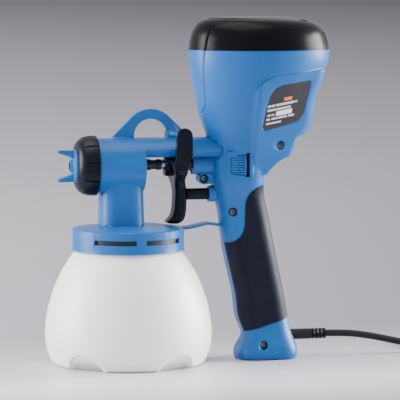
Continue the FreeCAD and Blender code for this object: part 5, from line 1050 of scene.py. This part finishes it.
@dataclass(frozen=True)
class PanScrew:
    """A pan-head screw with a cross recess, its seat at the origin and its head along +Z.

    Sizes are in millimetres, as (along, radius) in a half section. The head's points are
    shares of its height and its radius.
    """

    tip: tuple[Pair, ...] = ((-11.0, 0.0), (-10.4, 0.6), (-9.6, 1.35))
    thread_start: float = -9.4
    pitch: float = 0.75
    rise: float = 0.37
    threads: int = 12
    core: float = 1.15
    crest: float = 1.5
    neck: tuple[Pair, ...] = ((-0.2, 1.35), (0.0, 1.5))
    head_radius: float = 3.2
    head_height: float = 2.4
    head: tuple[Pair, ...] = ((0.0, 1.0), (0.45, 1.0), (0.82, 0.86), (1.0, 0.55), (1.02, 0.0))
    recess_low: Point = (-2.1, -0.5, 0.9)
    recess_high: Point = (2.1, 0.5, 4.0)
    recess_taper: Point = (0.45, 0.6, 1.0)
    sides: int = 32

    def build(self, name: str) -> Workpiece:
        """Turn the screw and cut its recess with two crossed bars."""
        profile = list(self.tip)
        for turn in range(self.threads):
            base = self.thread_start + turn * self.pitch
            profile += [(base, self.core), (base + self.rise, self.crest)]
        profile += self.neck
        profile += [(along * self.head_height, out * self.head_radius) for along, out in self.head]
        piece = lathe(name, profile, Axis.Z, Vector(), self.sides)
        low, high = Vector(self.recess_low) * MM, Vector(self.recess_high) * MM
        for turn in range(2):
            bar = Workpiece.added("cross_tool", bpy.ops.mesh.primitive_cube_add, high - low,
                                  size=1.0, location=(low + high) / 2)
            with bar.editing(Pick.FACES, lambda at, normal: normal.z < -0.9):
                bpy.ops.transform.resize(value=self.recess_taper)
            if turn:
                bar.obj.data.transform(Matrix.Rotation(math.pi / 2, 4, "Z"))
            piece.carve(bar)
        piece.smooth(34.0)
        return piece


@dataclass(frozen=True)
class MotorHousing(SubAssembly):
    """Two blue halves, the domed cover, the rating plate and their screws.

    Each housing screw has its x, its z, the depth of its seat and its turn in degrees.
    """

    skins = (
        Skin("housing_left", "shell_left", BLUE), Skin("housing_right", "shell_right", BLUE),
        Skin("top_cover", "dome_cover", BLACK), Skin("label_plate", "rating_plate", PLATE),
        Skin("grip_left", "soft_grip_left", RUBBER), Skin("grip_right", "soft_grip_right", RUBBER))
    pattern: PanScrew = PanScrew()
    housing_screws: tuple[Four, ...] = (
        (131.3, 190.0, 19.4, 12.0), (67.0, 160.6, 2.0, 40.0),
        (90.6, 131.7, 13.2, -8.0), (117.8, 12.9, 15.5, 25.0))
    cover_screw: Point = (152.4, 20.0, 291.0)
    cover_turn: float = 30.0

    def build(self) -> None:
        """Dress the halves, the cover and the plate; model one screw and set copies of it."""
        super().build()
        pattern = self.pattern.build("screw_pattern")

        def place(at: Point, turn: float, tilt: float = 0.0) -> Matrix:
            """Turn a screw about its own axis, tilt it about X and move its seat."""
            return (Matrix.Translation(Vector(at) * MM) @ Matrix.Rotation(tilt, 4, "X")
                    @ Matrix.Rotation(math.radians(turn), 4, "Z"))

        x, y, z = self.cover_screw
        sets = {
            "housing_screw": [place((x, -seat, z), turn, math.pi / 2)
                              for x, z, seat, turn in self.housing_screws],
            "cover_screw": [place((x, y * side, z), self.cover_turn * side)
                            for side in (-1.0, 1.0)]}
        for name, moves in sets.items():
            copies = [pattern.copy("%s_%d" % (name, number), move)
                      for number, move in enumerate(moves)]
            copies[0].join(copies[1:], name + "_set")
            copies[0].fit(SCREW_STEEL, Body.SPRAYER, name + "s")
        pattern.discard()


# Spray head


@dataclass(frozen=True)
class FrontRing:
    """The ring that holds the air cap, with finger grooves all round.

    Lengths along the spray axis and radii are in millimetres, angles in degrees.
    """

    height: float = 173.2
    front: float = -47.0
    rear: float = -28.6
    radius: float = 26.2
    mouth: float = 14.8
    face: float = 16.2
    lip: float = 1.7
    seat: float = 18.9
    seat_at: float = -41.3
    bore: float = 20.9
    bore_at: float = -30.6
    skirt: float = 24.1
    knee_behind: float = 5.6
    knee_below: float = 2.2
    knee_arc: float = 9.5
    shoulder_behind: float = 13.0
    shoulder_below: float = 1.7
    shoulder_arc: float = 30.0
    panels: int = 10
    panel_steps: int = 24
    groove_steps: float = 2.0
    groove_radius: float = 24.4
    groove_end: float = -29.9
    groove_rim: float = 0.22
    groove_depth: float = 1.1
    turned: float = 10.9

    def profile(self) -> list[Pair]:
        """The closed half section, from the lip round the outside and back through the bore."""
        front, rear, outer = self.front, self.rear, self.radius
        knee = front + self.knee_behind
        points = [(front + self.lip, self.mouth), (front + 0.5, self.mouth),
                  (front, self.mouth + 0.4)]
        points += bent((front, self.face), (knee, outer - self.knee_below), self.knee_arc, 9)
        points += bent((knee + 0.05, outer - self.shoulder_below),
                       (front + self.shoulder_behind, outer), self.shoulder_arc, 6)
        return points + [
            (rear - 1.2, outer), (rear - 0.3, outer - 0.3), (rear, outer - 1.0),
            (rear, self.skirt), (self.bore_at, self.skirt), (self.bore_at, self.bore),
            (self.seat_at, self.bore), (self.seat_at, self.seat), (front + self.lip, self.seat)]

    def in_groove(self, at: Vector, normal: Vector) -> bool:
        """Whether a face of the rim lies in a groove."""
        off = at - Vector((at.x, 0.0, self.height * MM))
        start = self.front + self.knee_behind + 0.1
        if off.length < self.groove_radius * MM or not start * MM < at.x < self.groove_end * MM:
            return False
        angle = math.degrees(math.atan2(off.y, off.z)) % (360.0 / self.panels)
        return angle < self.groove_steps * 360.0 / (self.panels * self.panel_steps)

    def build(self) -> None:
        """Turn the ring, sink its grooves and set them as in the photograph."""
        middle = Vector((0.0, 0.0, self.height * MM))
        steps = self.panels * self.panel_steps
        ring = lathe("front_ring_skin", self.profile(), Axis.X, middle, steps)
        with ring.editing(Pick.FACES, self.in_groove):
            bpy.ops.mesh.inset(thickness=self.groove_rim * MM, depth=-self.groove_depth * MM)
        with ring.editing():
            bpy.ops.transform.rotate(value=math.radians(-self.turned), orient_axis="X",
                                     center_override=middle)
        ring.smooth(28.0)
        ring.fit(INK, Body.FRONT_RING, "retaining_ring")


class SprayHead(SubAssembly):
    """Barrel with its loop, front ring, air cap, nozzle and needle."""

    skins = (
        Skin("gun_body", "barrel_and_column", BLUE), FrontRing(),
        Skin("air_cap", "air_cap_skin", BLUE, Body.AIR_CAP),
        Skin("fluid_nozzle", "nozzle_skin", DARK),
        Skin("fluid_needle", "needle_skin", STEEL, Body.NEEDLE),
        Skin("needle_collar", "needle_collar_skin", SMOKE, Body.NEEDLE),
        Skin("packing_nut", "packing_nut_skin", DARK),
        Skin("needle_guide", "needle_guide_skin", STEEL))
    bare = {"needle_packing": SEAL, "needle_spring": STEEL}


class TriggerGroup(SubAssembly):
    """Trigger, its pin and the switch behind it."""

    skins = (
        Skin("trigger", "trigger_yoke", INK, Body.TRIGGER),
        Skin("trigger_pin", "trigger_pin_skin", BRASS, Body.TRIGGER),
        Skin("switch_plunger", "plunger_skin", INK, Body.PLUNGER))
    bare = {"plunger_spring": STEEL, "power_switch": DARK, "noise_capacitor": DARK,
            "switch_wires": JACKET}


class FlowControl(SubAssembly):
    """Ribbed thumb wheel and its screw."""

    skins = (Skin("flow_wheel", "thumb_wheel", BLUE, Body.FLOW_KNOB, angle=20.0),)
    bare = {"flow_screw": STEEL}


class PaintCup(SubAssembly):
    """Cup, lid, pickup and the stay arm to the handle."""

    skins = (
        Skin("cup", "cup_shell", MILK, Body.CUP), Skin("cup_lid", "cup_lid_skin", BLUE),
        Skin("stay_arm", "stay_arm_skin", BLUE, bevel=0.35))
    bare = {"thread_ring": DARK, "cup_gasket": SEAL, "pickup_tube": IVORY, "pickup_filter": IVORY}


class TurbineMotor(SubAssembly):
    """Everything under the cover."""

    bare = {
        "motor_plate": IVORY, "motor_field": IRON, "field_windings": WINDING,
        "motor_armature": IRON, "motor_shaft": UPRIGHT_STEEL, "commutator": COPPER_BARS,
        "motor_bearings": UPRIGHT_STEEL, "motor_bridge": IVORY, "brush_holders": BRASS,
        "turbine_fan": IVORY, "fan_shroud": IVORY, "air_filter": FOAM}


class PowerInlet(SubAssembly):
    """Strain relief, clamp and the cord's end inside the foot."""

    skins = (Skin("strain_relief", "strain_relief_skin", JACKET),)
    bare = {"cord_clamp": DARK, "clamp_screws": STEEL, "cord_lead": JACKET}


def main() -> None:
    """Build the studio and the sprayer, piece by piece."""
    logging.basicConfig(level=logging.INFO, format="%(name)s %(message)s")
    studio = Studio()
    studio.build_camera()
    FreeCord().build()
    studio.build()
    for group in (MotorHousing(), SprayHead(), TriggerGroup(), FlowControl(), PaintCup(),
                  TurbineMotor(), PowerInlet()):
        LOG.info("building %s", type(group).__name__)
        group.build()


if __name__ == "__main__":
    main()
